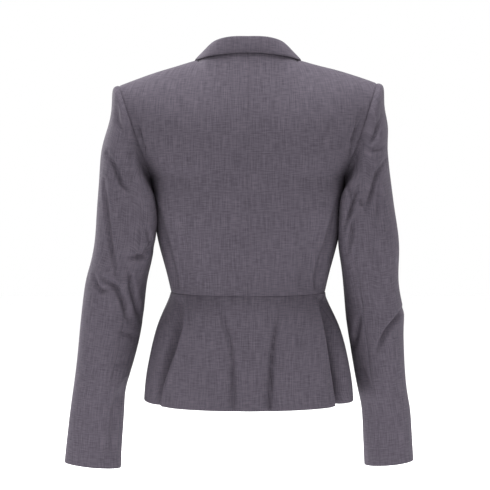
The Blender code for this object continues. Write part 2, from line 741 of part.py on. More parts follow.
side_rows = slice(0, LOWER_ROWS + 1)
side_normals = unit(back_normals[side_rows, -1] + front_normals[side_rows, 0])
back_normals[side_rows, -1] = side_normals
front_normals[side_rows, 0] = side_normals
shoulder_normal = unit(np.cross(SHOULDER_POINT - np.array(BACK_NECK[-1]), np.array([0.0, -1.0, 0.0])))
if shoulder_normal[2] < 0.0:
    shoulder_normal = -shoulder_normal
back_normals[-1, NECK_STEPS:] = shoulder_normal
front_normals[-1, ARM_STEPS:] = shoulder_normal
back_angles = row_angles(BACK_ROWS)
back_angles = np.concatenate([back_angles, np.linspace(BACK_ROWS[-1][1], 0.0, UPPER_ROWS + 1)[1:]])
front_angles = row_angles(FRONT_ROWS)
front_angles = np.concatenate([front_angles, np.linspace(FRONT_ROWS[-1][1], 360.0, UPPER_ROWS + 1)[1:]])
bottom_angles = np.linspace(SEAM_TOP_ANGLE, FRONT_BASE_ANGLE, ARM_STEPS + 1)

body_turn = np.concatenate([back_angles[::-1], bottom_angles[1:], front_angles[1:]])
body_normals = np.concatenate([
    back_normals[LOWER_ROWS:, -1][::-1],
    front_normals[LOWER_ROWS, 1 : ARM_STEPS + 1],
    front_normals[LOWER_ROWS + 1 :, ARM_STEPS],
])


def share_edges(turn, normals):
    """Sets the armhole edges of the body panels to the shared direction."""
    for row, angle in zip(range(LOWER_ROWS, len(back)), back_angles):
        other = read_normals(turn, normals, [angle])[0]
        back_normals[row, -1] = unit(back_normals[row, -1] + seam_mix(angle) * other)
    for row, angle in zip(range(LOWER_ROWS, len(front)), front_angles):
        other = read_normals(turn, normals, [angle])[0]
        front_normals[row, ARM_STEPS] = unit(front_normals[row, ARM_STEPS] + seam_mix(angle) * other)


share_edges(*sleeve_edge_normals(SLEEVE_LEFT))

back_edges = ("first_column", "first_row", "last_row")
back_outer = trimmed(back, back_edges)
low = back_outer[: LOWER_ROWS + 1]
back_outer[: LOWER_ROWS + 1] = trimmed(low, ("last_column",))
back_inner = back_outer - CLOTH * back_normals
add_wall("back_left", back_outer, back_inner, GREY)
add_wall("back_right", mirrored(back_outer), mirrored(back_inner), GREY)

front_outer = trimmed(front, ("first_row",))
front_outer[:, ARM_STEPS:] = trimmed(front_outer[:, ARM_STEPS:], ("last_row",))
front_outer[: LOWER_ROWS + 1] = trimmed(front_outer[: LOWER_ROWS + 1], ("first_column",))
front_inner = front_outer - CLOTH * front_normals
add_wall("front_left", front_outer, front_inner, GREY, front_cells)
front_right_outer = lift_lap(front_outer)
front_right_inner = lift_lap(front_inner)
add_wall("front_right", mirrored(front_right_outer), mirrored(front_right_inner), GREY, front_cells)


def lapel_grid(outer, normals, covered):
    """Lapel points on the front, moved out; a covered lapel starts beside the front that laps over it."""
    chest = outer[:, ARM_STEPS:][:, ::-1]
    chest_out = normals[:, ARM_STEPS:][:, ::-1]
    grid = []
    out = []
    for row in range(len(chest)):
        share = (chest[row, 0, 2] - LAPEL_BREAK) / (LAPEL_TOP - LAPEL_BREAK)
        if share < 0.0 or share > 1.0:
            continue
        reach = np.interp(share, [line[0] for line in LAPEL], [line[1] for line in LAPEL])
        begin = max(0.0, COVER_GAP - 2.0 * chest[row, 0, 0]) if covered else 0.0
        if begin > reach - LAPEL_LEAST:
            continue
        places = np.linspace(begin, reach, LAPEL_STEPS + 1)
        grid.append(along_line(chest[row], places))
        lengths = np.concatenate([[0.0], np.cumsum(np.linalg.norm(np.diff(chest[row], axis=0), axis=1))])
        out.append(np.stack([np.interp(places, lengths, chest_out[row, :, axis]) for axis in range(3)], axis=1))
    return np.array(grid), unit(np.array(out))


for side, outer in (("left", front_outer), ("right", front_right_outer)):
    points, away = lapel_grid(outer, front_normals, side == "left")
    lapel_inner = points + LAPEL_LIFT * away
    lapel_outer = points + (LAPEL_LIFT + CLOTH) * away
    if side == "right":
        lapel_inner = mirrored(lapel_inner)
        lapel_outer = mirrored(lapel_outer)
    add_wall("lapel_" + side, lapel_outer, lapel_inner, GREY)


def collar_line(first):
    """One line of the collar table round both sides of the neck."""
    table = np.array([row[first : first + 3] for row in COLLAR])
    half = even_spline(table, COLLAR_STEPS + 1)
    return np.vstack([mirrored(half)[:0:-1], half])


seam = collar_line(0)
fold = collar_line(3)
edge = collar_line(6)
stand = np.stack([seam + (fold - seam) * share for share in (0.0, 0.33, 0.67, 1.0)])
stand_normals = grid_normals(stand)
if stand_normals[1, COLLAR_STEPS, 1] < 0.0:
    stand_normals = -stand_normals
stand_normals[0] = unit(stand_normals[0] * np.array([1.0, 1.0, 0.0]))
stand_outer = stand.copy()
stand_outer[0] += unit(fold - seam) * STAND_LIFT
stand_inner = stand_outer - COLLAR_CLOTH * stand_normals
stand_outer = stand_outer[:, STAND_SHORT:-STAND_SHORT]
stand_inner = stand_inner[:, STAND_SHORT:-STAND_SHORT]
add_wall("collar_stand", stand_outer, stand_inner, GREY)

fall_away = unit(np.cross(np.gradient(fold, axis=0), edge - fold))
if fall_away[COLLAR_STEPS, 1] < 0.0:
    fall_away = -fall_away
fall_rows = even_spline(FALL_SECTION, 2 * len(FALL_SECTION) - 1)
fall = np.stack([fold + (edge - fold) * share + fall_away * bulge for share, bulge in fall_rows])
fall[:, :, 2] += COLLAR_CLOTH
fall_normals = grid_normals(fall)
if fall_normals[-2, COLLAR_STEPS, 1] < 0.0:
    fall_normals = -fall_normals
add_wall("collar_fall", fall, fall - COLLAR_CLOTH * fall_normals, GREY)

# Peplum
peplums = {
    "peplum_back_left": peplum_panel(0.0, SIDE_SEAM, BACK_FOLDS_LEFT),
    "peplum_back_right": peplum_panel(0.0, SIDE_SEAM, BACK_FOLDS_RIGHT),
    "peplum_front_left": peplum_panel(SIDE_SEAM, 2.0, FRONT_FOLDS, (PEPLUM_EDGE_WAIST, PEPLUM_EDGE_HEM)),
    "peplum_front_right": peplum_panel(SIDE_SEAM, 2.0, FRONT_FOLDS, (PEPLUM_EDGE_WAIST, PEPLUM_EDGE_HEM)),
}
for name, grid in peplums.items():
    normals = outward(grid, grid_normals(grid), PEPLUM_CENTRE)
    if "back" in name:
        normals[:, 0] = unit(normals[:, 0] * np.array([0.0, 1.0, 1.0]))
        outer = trimmed(grid, ("first_column", "last_column", "first_row"))
    else:
        outer = trimmed(grid, ("first_column", "first_row"))
    inner = outer - CLOTH * normals
    if name == "peplum_front_right":
        outer = lift_lap(outer)
        inner = lift_lap(inner)
    if "right" in name:
        outer = mirrored(outer)
        inner = mirrored(inner)
    add_wall(name, outer, inner, GREY)

# Sleeves
for side, table in (("left", SLEEVE_LEFT), ("right", SLEEVE_RIGHT)):
    for piece, angles, steps in (("upper", UPPER_SLEEVE, UPPER_STEPS), ("under", UNDER_SLEEVE, UNDER_STEPS)):
        around = np.linspace(angles[0], angles[1], steps + 1)
        grid = sleeve_panel(table, around)
        across = sleeve_panel(table, around + SEAM_LOOK) - sleeve_panel(table, around - SEAM_LOOK)
        normals = unit(np.cross(across, np.gradient(grid, axis=0)))
        middle = grid[5].mean(axis=0) if piece == "upper" else np.array([1000.0, 0.0, 0.0])
        if np.dot(normals[5, steps // 2], grid[5, steps // 2] - middle) < 0.0:
            normals = -normals
        other = read_normals(body_turn, body_normals, around)
        normals[0] = unit(normals[0] + seam_mix(around)[:, None] * other)
        outer = trimmed(grid, ("first_column", "last_column"))
        inner = outer - CLOTH * normals
        if side == "right":
            outer = mirrored(outer)
            inner = mirrored(inner)
        add_wall("sleeve_" + piece + "_" + side, outer, inner, GREY)

# Button, lying on the front
front_face = [front_part(ring, 0.0, [1.0])[0] for ring in BODY_RINGS]
near_heights = [BUTTON_HEIGHT - 1.0, BUTTON_HEIGHT, BUTTON_HEIGHT + 1.0]
near = spline([ring[0] for ring in BODY_RINGS], front_face, near_heights)
button_up = unit(near[2] - near[0])
button_out = np.array([0.0, -button_up[2], button_up[1]])
button_base = near[1] + np.array([0.0, -LAP_LIFT, 0.0]) + button_out * BUTTON_GAP
BUTTON_PROFILE = [
    (BUTTON_RADIUS - 1.2, 0.0),
    (BUTTON_RADIUS, 0.9),
    (BUTTON_RADIUS, BUTTON_THICK - 0.8),
    (BUTTON_RADIUS - 0.8, BUTTON_THICK),
    (BUTTON_RADIUS - 2.4, BUTTON_THICK - 0.9),
]
button_points = []
button_faces = []
for radius, depth in BUTTON_PROFILE:
    for corner_number in range(BUTTON_SIDES):
        turn = 2.0 * math.pi * corner_number / BUTTON_SIDES
        spot = np.array([radius * math.cos(turn), 0.0, 0.0]) + radius * math.sin(turn) * button_up
        button_points.append(button_base + spot + depth * button_out)
for ring_number in range(len(BUTTON_PROFILE) - 1):
    first = ring_number * BUTTON_SIDES
    second = first + BUTTON_SIDES
    for corner_number in range(BUTTON_SIDES):
        beside = (corner_number + 1) % BUTTON_SIDES
        button_faces.append([first + corner_number, first + beside, second + beside, second + corner_number])
button_faces.append(list(range(BUTTON_SIDES)))
button_faces.append([second + corner_number for corner_number in range(BUTTON_SIDES)])
add_object("button", button_points, button_faces, BUTTON_GREY, BUTTON_ROUGH)
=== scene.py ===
# %% [markdown]
# # A fitted blazer with a peplum, seen from the back
# The jacket is grey worsted suiting in its worn form, hollow inside. Its maker cut sixteen pieces of cloth
# and sewed one button on, and each piece of cloth becomes a thin sheet here, laid on the form of its solid.
# The frame is loaded first, because every size below is in its coordinates: X towards the wearer's left,
# Y out of the back and Z up, with the origin in the middle of the neck. Lengths are in millimetres until a
# mesh is made.

import math

import bmesh
import bpy
import numpy as np
from mathutils import Matrix, Vector, noise


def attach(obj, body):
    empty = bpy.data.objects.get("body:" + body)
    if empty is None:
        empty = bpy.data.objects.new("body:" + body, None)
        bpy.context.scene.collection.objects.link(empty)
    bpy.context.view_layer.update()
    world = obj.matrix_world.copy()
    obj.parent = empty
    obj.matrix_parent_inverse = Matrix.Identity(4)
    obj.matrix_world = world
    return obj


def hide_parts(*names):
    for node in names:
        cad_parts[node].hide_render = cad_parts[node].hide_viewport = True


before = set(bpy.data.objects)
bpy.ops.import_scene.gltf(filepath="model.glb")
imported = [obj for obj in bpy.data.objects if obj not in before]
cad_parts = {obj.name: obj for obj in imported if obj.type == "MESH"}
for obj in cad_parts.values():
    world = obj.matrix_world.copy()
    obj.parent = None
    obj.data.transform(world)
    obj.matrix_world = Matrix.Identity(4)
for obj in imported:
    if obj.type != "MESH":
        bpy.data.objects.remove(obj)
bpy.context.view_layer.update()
MM = 0.001
print("solids in the frame:", len(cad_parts))

# %% [markdown]
# A worn jacket is made of smooth curves between a few places that a cutter would measure: the waist, the
# bust, the armhole, the neck. So each piece is a grid of points on splines through short tables. Subdividing
# the solids themselves would also give smooth walls, but a grid made from the tables has rows and columns
# that follow the grain, and those carry the weave, the creases and the seams later.

# %% Curves through measured places


def spline(knots, values, places):
    """Natural cubic spline through values at the knots, read at the given places."""
    knots = np.asarray(knots, float)
    values = np.asarray(values, float)
    shape = values.shape[1:]
    flat = values.reshape(len(knots), -1)
    count = len(knots)
    step = np.diff(knots)
    slope = np.diff(flat, axis=0) / step[:, None]
    system = np.eye(count)
    right = np.zeros_like(flat)
    for row in range(1, count - 1):
        system[row, row - 1] = step[row - 1]
        system[row, row] = 2.0 * (step[row - 1] + step[row])
        system[row, row + 1] = step[row]
        right[row] = 6.0 * (slope[row] - slope[row - 1])
    bend = np.linalg.solve(system, right)
    places = np.asarray(places, float)
    span = np.clip(np.searchsorted(knots, places) - 1, 0, count - 2)
    width = step[span][:, None]
    after = (knots[span + 1] - places)[:, None]
    before = (places - knots[span])[:, None]
    result = (bend[span] * after**3 + bend[span + 1] * before**3) / (6.0 * width)
    result += (flat[span] / width - bend[span] * width / 6.0) * after
    result += (flat[span + 1] / width - bend[span + 1] * width / 6.0) * before
    return result.reshape((len(places),) + shape)


def even_spline(rows, shares):
    """Points along a spline through a table's rows, at shares of the row number."""
    last = len(rows) - 1.0
    return spline(np.arange(len(rows), dtype=float), rows, np.asarray(shares) * last)


# %% Lines, soft steps and normals
SHORTEST = 1e-9


def line_lengths(points):
    """Distance travelled at each point of a polyline."""
    steps = np.linalg.norm(np.diff(points, axis=0), axis=1)
    return np.concatenate([[0.0], np.cumsum(steps)])


def along_line(points, distances, values=None):
    """Points of a polyline at given distances along it, or other values that its points carry."""
    travelled = line_lengths(points)
    values = points if values is None else values
    return np.stack([np.interp(distances, travelled, values[:, axis]) for axis in range(3)], axis=1)


def bezier(start, lead, follow, end, share):
    """Cubic curve from start to end with two handle points."""
    share = np.asarray(share, float)[:, None]
    rest = 1.0 - share
    return rest**3 * start + 3 * rest**2 * share * lead + 3 * rest * share**2 * follow + share**3 * end


def hermite(start, start_pull, end, end_pull, share):
    """Cubic curve with given end pulls."""
    return (
        (2 * share**3 - 3 * share**2 + 1) * start
        + (share**3 - 2 * share**2 + share) * start_pull
        + (-2 * share**3 + 3 * share**2) * end
        + (share**3 - share**2) * end_pull
    )


def smooth(value):
    """Soft step from 0 to 1."""
    value = np.clip(value, 0.0, 1.0)
    return value * value * (3.0 - 2.0 * value)


def unit(vectors):
    """Vectors of length one."""
    size = np.linalg.norm(vectors, axis=-1)[..., None]
    return vectors / np.where(size > SHORTEST, size, 1.0)


def grid_normals(grid):
    """Unit normals of a grid of points."""
    return unit(np.cross(np.gradient(grid, axis=1), np.gradient(grid, axis=0)))


# %% [markdown]
# The grid is about three millimetres fine, and two on the sleeves, where the creases are narrowest. That is
# enough for a crease a centimetre wide. A seam needs more: there the cloth turns inwards within a few
# millimetres, so a few extra lines lie close beside each edge.

# %% Spacing of the grid lines
FABRIC_STEP = 3.2
BESIDE_SEAM = np.array([0.0, 0.5, 1.2, 2.2, 3.8])


def line_places(length, first=True, last=True, step=FABRIC_STEP):
    """Distances of the grid lines over a length, closer beside a seam at either end."""
    even = np.linspace(0.0, length, round(length / step) + 1)
    room = BESIDE_SEAM[-1] + step / 2.0
    if first:
        even = np.concatenate([BESIDE_SEAM, even[even > room]])
    if last:
        even = np.concatenate([even[even < length - room], length - BESIDE_SEAM[::-1]])
    return even


print("lines over 100 mm of cloth:", len(line_places(100.0)))

# %% [markdown]
# Around the body the cloth follows rings: each row of the table is a level with its half width, its depth at
# the back and at the front, and how full it is between. A ring is two soft quarter curves, so the fullness of
# the back and of the bust can differ. Up to the underarm the side seam runs just behind the widest place.

# %% Rings of the body
# Height, half width, Y of the back, of the widest place and of the front, how far the back dips below the
# front, and how full the back and the front are.
BODY_RINGS = [
    (-364.0, 123.0, 84.0, 0.0, -104.0, 5.0, 0.58, 0.58),
    (-330.0, 131.0, 90.0, 1.0, -113.0, 2.0, 0.61, 0.60),
    (-300.0, 139.5, 97.0, -2.0, -122.0, 0.0, 0.66, 0.62),
    (-265.0, 147.0, 103.0, -4.0, -131.0, 0.0, 0.75, 0.62),
    (-230.0, 149.5, 107.0, -4.0, -135.0, 0.0, 0.83, 0.62),
]
RING_LEVELS = [ring[0] for ring in BODY_RINGS]
UNDERARM_LEVEL = -186.0
SIDE_SEAM = 0.86
FRONT_BASE = 1.14
CENTRE_FRONT = 2.0
FRONT_SAMPLES = 120


def ring_points(ring, turn):
    """Points of half a body ring: turn 0 is centre back, 1 the widest point, 2 centre front."""
    height, half_width, back, widest, front, back_dip, back_full, front_full = ring
    turn = np.asarray(turn, float)
    rear = bezier(
        np.array([0.0, back]),
        np.array([back_full * half_width, back]),
        np.array([half_width, widest + back_full * (back - widest)]),
        np.array([half_width, widest]),
        np.clip(turn, 0.0, 1.0),
    )
    fore = bezier(
        np.array([half_width, widest]),
        np.array([half_width, widest + front_full * (front - widest)]),
        np.array([front_full * half_width, front]),
        np.array([0.0, front]),
        np.clip(turn - 1.0, 0.0, 1.0),
    )
    flat = np.where((turn <= 1.0)[:, None], rear, fore)
    level = height - back_dip * np.clip(flat[:, 1] / back, 0.0, 1.0)
    return np.column_stack([flat, level])


def front_part(ring, edge_x, shares):
    """Points of a ring from the front base to the front edge, evenly spaced across."""
    dense = ring_points(ring, np.linspace(FRONT_BASE, CENTRE_FRONT, FRONT_SAMPLES))
    across = dense[0, 0] + (edge_x - dense[0, 0]) * np.asarray(shares)
    order = np.argsort(dense[:, 0])
    depth = np.interp(np.abs(across), dense[order, 0], dense[order, 1])
    return np.column_stack([across, depth, np.full(len(across), ring[0])])


print("waist, half width and depths:", BODY_RINGS[0][1], BODY_RINGS[0][2], BODY_RINGS[0][4])

# %% [markdown]
# The armhole is a tilted oval from the shoulder point to the underarm. Back, front and sleeve all end on it,
# so it is one function of an angle: 0 at the shoulder, 90 at the back, 180 at the underarm.

# %% Armhole
SHOULDER_POINT = np.array([205.0, 4.0, -36.0])
UNDERARM_POINT = np.array([150.0, 4.0, -192.0])
ARMHOLE_BACK = 60.0
ARMHOLE_FRONT = 58.0
SEAM_TOP_ANGLE = 153.0
FRONT_BASE_ANGLE = 212.0
ARM_CENTRE = (SHOULDER_POINT + UNDERARM_POINT) / 2.0
ARM_HALF = (SHOULDER_POINT - UNDERARM_POINT) / 2.0
FULL_TURN = 360.0
ARMHOLE_STEP = 0.5


def armhole(angle):
    """Points of the armhole seam: 0 degrees at the shoulder, 90 at the back, 180 at the underarm."""
    turn = np.radians(np.asarray(angle, float))
    depth = np.where(np.sin(turn) > 0.0, ARMHOLE_BACK, ARMHOLE_FRONT)
    points = ARM_CENTRE + np.cos(turn)[:, None] * ARM_HALF
    points[:, 1] += np.sin(turn) * depth
    return points


armhole_line = armhole(np.arange(0.0, FULL_TURN + ARMHOLE_STEP, ARMHOLE_STEP))
print("armhole length, mm:", round(line_lengths(armhole_line)[-1]))

# %% [markdown]
# The back has two panels with a seam down the middle. Below the underarm each row lies on a ring. Above it
# a row runs from the centre back to the armhole, and the last part rises over the shoulder blade to the neck
# and shoulder seams. One panel is made for the left, and its mirror copy is the right one, a few millimetres
# higher at the shoulder, as the jacket hangs.

# %% Rows and edges of the back
# Level, angle on the armhole, Y and Z at the centre back, and heading in degrees at the armhole.
BACK_ROWS = [
    (-186.0, 153.0, 109.0, -187.0, 75.0),
    (-165.0, 135.0, 110.0, -168.0, 60.0),
    (-145.0, 115.0, 110.0, -147.0, 46.0),
    (-122.0, 95.0, 109.0, -125.0, 36.0),
]
# Points of the neck seam from the centre back to the shoulder.
BACK_NECK = [
    (0.0, 60.0, 14.0),
    (28.0, 58.0, 13.0),
    (52.0, 47.0, 11.0),
    (69.0, 29.0, 9.0),
    (78.0, 8.0, 6.0),
]
BACK_LEAD = 0.52
BACK_FOLLOW = 0.45
SHOULDER_CROWN = 2.0
SHOULDER_CROWN_SKEW = 1.3
NECK_PULL = np.array([0.0, -0.34, 0.85])
SHOULDER_PULL = np.array([0.0, -0.95, 0.12])
LEAN_FROM = 0.08
LEAN_OVER = 0.40
EDGE_EASE = 6
TOP_EASE = 4
NECK_SHARE = 0.40

ROWS_BELOW = BODY_RINGS[0][0] + line_places(UNDERARM_LEVEL - BODY_RINGS[0][0], True, False)
ROWS_BESIDE = UNDERARM_LEVEL + line_places(BACK_ROWS[-1][0] - UNDERARM_LEVEL, False, False)[1:]
BODY_LEVELS = np.concatenate([ROWS_BELOW, ROWS_BESIDE])
UNDERARM_ROW = len(ROWS_BELOW) - 1
RISE_LENGTH = 150.0
RISE_SHARES = line_places(RISE_LENGTH, False, True)[1:] / RISE_LENGTH
BACK_WIDTH = 190.0
print("rows of the body up to the shoulder blade and above:", len(BODY_LEVELS), len(RISE_SHARES))

# %% Seam lines of the body


def row_angles(table):
    """Armhole angle of each grid row that ends on the armhole, up to the table's last row."""
    return spline([row[0] for row in table], [[row[1]] for row in table], BODY_LEVELS[UNDERARM_ROW:])[:, 0]


def side_seam_line():
    """Side seam shared by back and front, from the waist to the armhole."""
    points = [ring_points(ring, [SIDE_SEAM])[0] for ring in BODY_RINGS]
    points.append(armhole([SEAM_TOP_ANGLE])[0])
    return spline(RING_LEVELS + [UNDERARM_LEVEL], points, ROWS_BELOW)


def shoulder_line(shares):
    """Shoulder seam from the neck point to the shoulder point, slightly crowned."""
    shares = np.asarray(shares, float)[:, None]
    neck = np.array(BACK_NECK[-1])
    line = neck + (SHOULDER_POINT - neck) * shares
    line[:, 2] += SHOULDER_CROWN * np.sin(math.pi * shares[:, 0] ** SHOULDER_CROWN_SKEW)
    return line


def back_shares():
    """Column places of the back, with one column on the neck point."""
    shares = line_places(BACK_WIDTH) / BACK_WIDTH
    shares[np.argmin(np.abs(shares - NECK_SHARE))] = NECK_SHARE
    return shares


def pull_edge(grid, rows, column, target, weights):
    """Moves one column onto its seam line and eases its neighbours along."""
    for row, point in zip(rows, target):
        shift = point - grid[row, column]
        grid[row] += weights[:, None] * shift


def rise_to_top(base, below, top, end_pull, shares, edge_angles, other_edge=None):
    """Rows from the chest or shoulder-blade row up over the shoulder."""
    lift = unit(base - below)
    chord = np.linalg.norm(top - base, axis=1)[:, None]
    weights = shares**TOP_EASE
    rows = []
    for share in RISE_SHARES:
        line = hermite(base, lift * chord, top, end_pull * chord, share)
        angle = edge_angles[0] + (edge_angles[1] - edge_angles[0]) * share
        line += weights[:, None] * (armhole([angle])[0] - line[-1])
        if other_edge is not None:
            line += ((1.0 - shares) ** TOP_EASE)[:, None] * (other_edge(share) - line[0])
        rows.append(line)
    return np.array(rows)


# %% Left back panel


def back_panel():
    """Left back: rows from the waist up, columns from the centre back to the side."""
    shares = back_shares()
    knots = list(RING_LEVELS)
    keys = [ring_points(ring, SIDE_SEAM * shares) for ring in BODY_RINGS]
    for level, angle, centre_y, centre_z, heading in BACK_ROWS:
        end = armhole([angle])[0]
        start = np.array([0.0, centre_y, centre_z])
        turn = math.radians(heading)
        lead = start + np.array([BACK_LEAD * end[0], 0.0, 0.0])
        follow = end - BACK_FOLLOW * end[0] * np.array([math.cos(turn), -math.sin(turn), 0.0])
        knots.append(level)
        keys.append(bezier(start, lead, follow, end, shares))
    grid = spline(knots, keys, BODY_LEVELS)
    weights = shares**EDGE_EASE
    pull_edge(grid, range(UNDERARM_ROW + 1), -1, side_seam_line(), weights)
    pull_edge(grid, range(UNDERARM_ROW, len(BODY_LEVELS)), -1, armhole(row_angles(BACK_ROWS)), weights)
    top = shoulder_line(np.clip((shares - NECK_SHARE) / (1.0 - NECK_SHARE), 0.0, 1.0))
    at_neck = shares <= NECK_SHARE
    top[at_neck] = even_spline(BACK_NECK, shares[at_neck] / NECK_SHARE)
    lean = smooth((shares - LEAN_FROM) / LEAN_OVER)[:, None]
    end_pull = (1.0 - lean) * NECK_PULL + lean * SHOULDER_PULL
    upper = rise_to_top(grid[-1], grid[-2], top, end_pull, shares, (BACK_ROWS[-1][1], 0.0))
    return np.concatenate([grid, upper])


back_grid = back_panel()
print("back panel, rows and columns:", back_grid.shape[:2])

# %% [markdown]
# A front is wider than the back panel beside it: it goes from the side seam round under the arm and over the
# bust to the front edge. Its first columns stop at the lower arc of the armhole, so the grid is an L of
# cells. The edge crosses the centre by the lap below and then follows the roll line up to the neck.

# %% Rows and edges of the front
# Level, angle on the armhole, X, Y and Z of the front edge, and heading in degrees at the armhole.
FRONT_ROWS = [
    (-186.0, 212.0, 26.0, -133.0, -190.0, 76.0),
    (-165.0, 230.0, 36.0, -128.0, -166.0, 62.0),
    (-145.0, 250.0, 45.0, -120.0, -140.0, 50.0),
    (-122.0, 270.0, 54.0, -108.0, -112.0, 40.0),
]
# X of the front edge at each ring of the body.
FRONT_EDGE = (-20.0, -20.0, -20.0, -5.0, 10.0)
# Points of the roll line from the chest up to the neck.
ROLL_LINE = [
    (54.0, -108.0, -112.0),
    (64.0, -86.0, -74.0),
    (71.0, -58.0, -40.0),
    (76.0, -26.0, -13.0),
    (78.0, 8.0, 6.0),
]
FRONT_LEAD = 0.44
FRONT_FOLLOW = 0.48
FRONT_SLOPE = 0.06
FRONT_PULL = np.array([0.0, 0.95, 0.12])
ARM_WIDTH = 90.0
ARM_SHARES = line_places(ARM_WIDTH, True, False) / ARM_WIDTH
ARM_COLUMN = len(ARM_SHARES) - 1
CHEST_WIDTH = 150.0
CHEST_SHARES = line_places(CHEST_WIDTH) / CHEST_WIDTH
ROLL_SAMPLES = 60
print("front columns under the arm and on the chest:", len(ARM_SHARES), len(CHEST_SHARES))

# %% Left front panel


def front_panel():
    """Left front: columns from the side seam round to the front edge, and which cells hold cloth."""
    arm_turns = SIDE_SEAM + (FRONT_BASE - SIDE_SEAM) * ARM_SHARES
    arm_angles = SEAM_TOP_ANGLE + (FRONT_BASE_ANGLE - SEAM_TOP_ANGLE) * ARM_SHARES
    arm_keys = [ring_points(ring, arm_turns) for ring in BODY_RINGS] + [armhole(arm_angles)]
    arm_grid = spline(RING_LEVELS + [UNDERARM_LEVEL], arm_keys, ROWS_BELOW)
    chest_knots = list(RING_LEVELS)
    chest_keys = [front_part(ring, edge_x, CHEST_SHARES) for ring, edge_x in zip(BODY_RINGS, FRONT_EDGE)]
    for level, angle, edge_x, edge_y, edge_z, heading in FRONT_ROWS:
        start = armhole([angle])[0]
        end = np.array([edge_x, edge_y, edge_z])
        turn = math.radians(heading)
        reach = start[0] - edge_x
        lead = start + FRONT_LEAD * reach * np.array([-math.cos(turn), -math.sin(turn), 0.0])
        follow = end + FRONT_FOLLOW * reach * np.array([1.0, FRONT_SLOPE, 0.0])
        chest_knots.append(level)
        chest_keys.append(bezier(start, lead, follow, end, CHEST_SHARES))
    grid = spline(chest_knots, chest_keys, BODY_LEVELS)
    weights = (1.0 - CHEST_SHARES) ** EDGE_EASE
    pull_edge(grid, range(UNDERARM_ROW + 1), 0, arm_grid[:, -1], weights)
    pull_edge(grid, range(UNDERARM_ROW, len(BODY_LEVELS)), 0, armhole(row_angles(FRONT_ROWS)), weights)
    roll = even_spline(ROLL_LINE, np.linspace(0.0, 1.0, ROLL_SAMPLES))
    roll_length = line_lengths(roll)[-1]
    flipped = rise_to_top(
        grid[-1][::-1],
        grid[-2][::-1],
        shoulder_line(1.0 - CHEST_SHARES)[::-1],
        np.tile(FRONT_PULL, (len(CHEST_SHARES), 1)),
        1.0 - CHEST_SHARES[::-1],
        (FRONT_ROWS[-1][1], FULL_TURN),
        lambda share: along_line(roll, [share * roll_length])[0],
    )
    grid = np.concatenate([grid, flipped[:, ::-1]])
    whole = np.zeros((len(grid), ARM_COLUMN + grid.shape[1], 3))
    whole[:, ARM_COLUMN:] = grid
    whole[: UNDERARM_ROW + 1, :ARM_COLUMN] = arm_grid[:, :-1]
    whole[UNDERARM_ROW + 1 :, :ARM_COLUMN] = whole[UNDERARM_ROW, :ARM_COLUMN]
    cells = np.ones((len(whole) - 1, whole.shape[1] - 1), bool)
    cells[UNDERARM_ROW:, :ARM_COLUMN] = False
    return whole, cells


def front_out(grid):
    """Normals of a front, read apart on its two stretches beside the armhole's lower end."""
    normals = np.zeros_like(grid)
    normals[:, ARM_COLUMN:] = grid_normals(grid[:, ARM_COLUMN:])
    low = grid_normals(grid[: UNDERARM_ROW + 1])
    normals[: UNDERARM_ROW + 1, : ARM_COLUMN + 1] = low[:, : ARM_COLUMN + 1]
    return normals if normals[0, -1, 1] < 0.0 else -normals


front_grid, front_cells = front_panel()
print("front panel, rows and columns:", front_grid.shape[:2])

# %% [markdown]
# A cut piece of suiting is thin, so each grid becomes a closed sheet a little over a millimetre thick, with
# its outer face where the solid's outer face is. At a seam the cloth turns inwards and its turnings lie
# pressed open inside, so beside a seam the face dips and the wall is thicker. At the stitches themselves the
# turning makes a lip inside, which keeps light from showing between two pieces. A hem or a cuff is folded up
# inside and has a rounded edge. A Solidify modifier would give one even thickness, so the two faces are
# worked out here instead.

# %% Edges of a sheet
CLOTH = 1.2
TURNING_WIDTH = 9.0
TURNING_THICK = 0.8
TURNING_FADE = 2.5
SEAM_LIP = 3.0
SEAM_LIP_WIDTH = 2.5
HEM_WIDTH = 32.0
HEM_THICK = 1.0
HEM_ROUND = 1.3
# How far the face dips at each kind of edge, and how far from the edge the dip reaches.
EDGE_KINDS = {
    "seam": (0.8, 4.0),
    "soft seam": (1.0, 3.0),
    "faint seam": (0.55, 1.8),
    "waist seam": (0.35, 1.2),
    "hem": (0.5, HEM_ROUND),
    "fold": (0.5, HEM_ROUND),
}
SIDES = ("first_column", "last_column", "first_row", "last_row")

# %% Distances from the edges


def edge_distance(grid, side):
    """Distance of every grid point from one edge, along the grid lines."""
    axis = 1 if "column" in side else 0
    steps = np.linalg.norm(np.diff(grid, axis=axis), axis=2)
    travelled = np.cumsum(steps, axis=axis)
    start = np.zeros_like(np.take(travelled, [0], axis=axis))
    travelled = np.concatenate([start, travelled], axis=axis)
    if "last" in side:
        travelled = np.take(travelled, [-1], axis=axis) - travelled
    return travelled


def edges_of(grid, *kinds):
    """Kind and distance of the first and last column and row; a side with no kind is left out."""
    return [(kind, edge_distance(grid, side)) for side, kind in zip(SIDES, kinds) if kind]


def armhole_distance(grid):
    """Distance of every grid point of a left piece from the armhole seam."""
    nearest = np.full(grid.shape[:2], np.inf)
    for point in armhole_line:
        nearest = np.minimum(nearest, np.linalg.norm(grid - point, axis=2))
    return nearest


def turned_edges(distances):
    """How far the face dips and how much thicker the wall is, from the distances to each kind of edge."""
    dip = 0.0
    thick = CLOTH
    for kind, distance in distances:
        depth, reach = EDGE_KINDS[kind]
        dip = np.maximum(dip, depth * np.clip(1.0 - distance / reach, 0.0, 1.0) ** 2)
        width, more = (TURNING_WIDTH, TURNING_THICK) if "seam" in kind else (HEM_WIDTH, HEM_THICK)
        thick = np.maximum(thick, CLOTH + more * smooth((width - distance) / TURNING_FADE))
        if "seam" in kind:
            thick = np.maximum(thick, CLOTH + SEAM_LIP * smooth(1.0 - distance / SEAM_LIP_WIDTH))
    return dip, thick


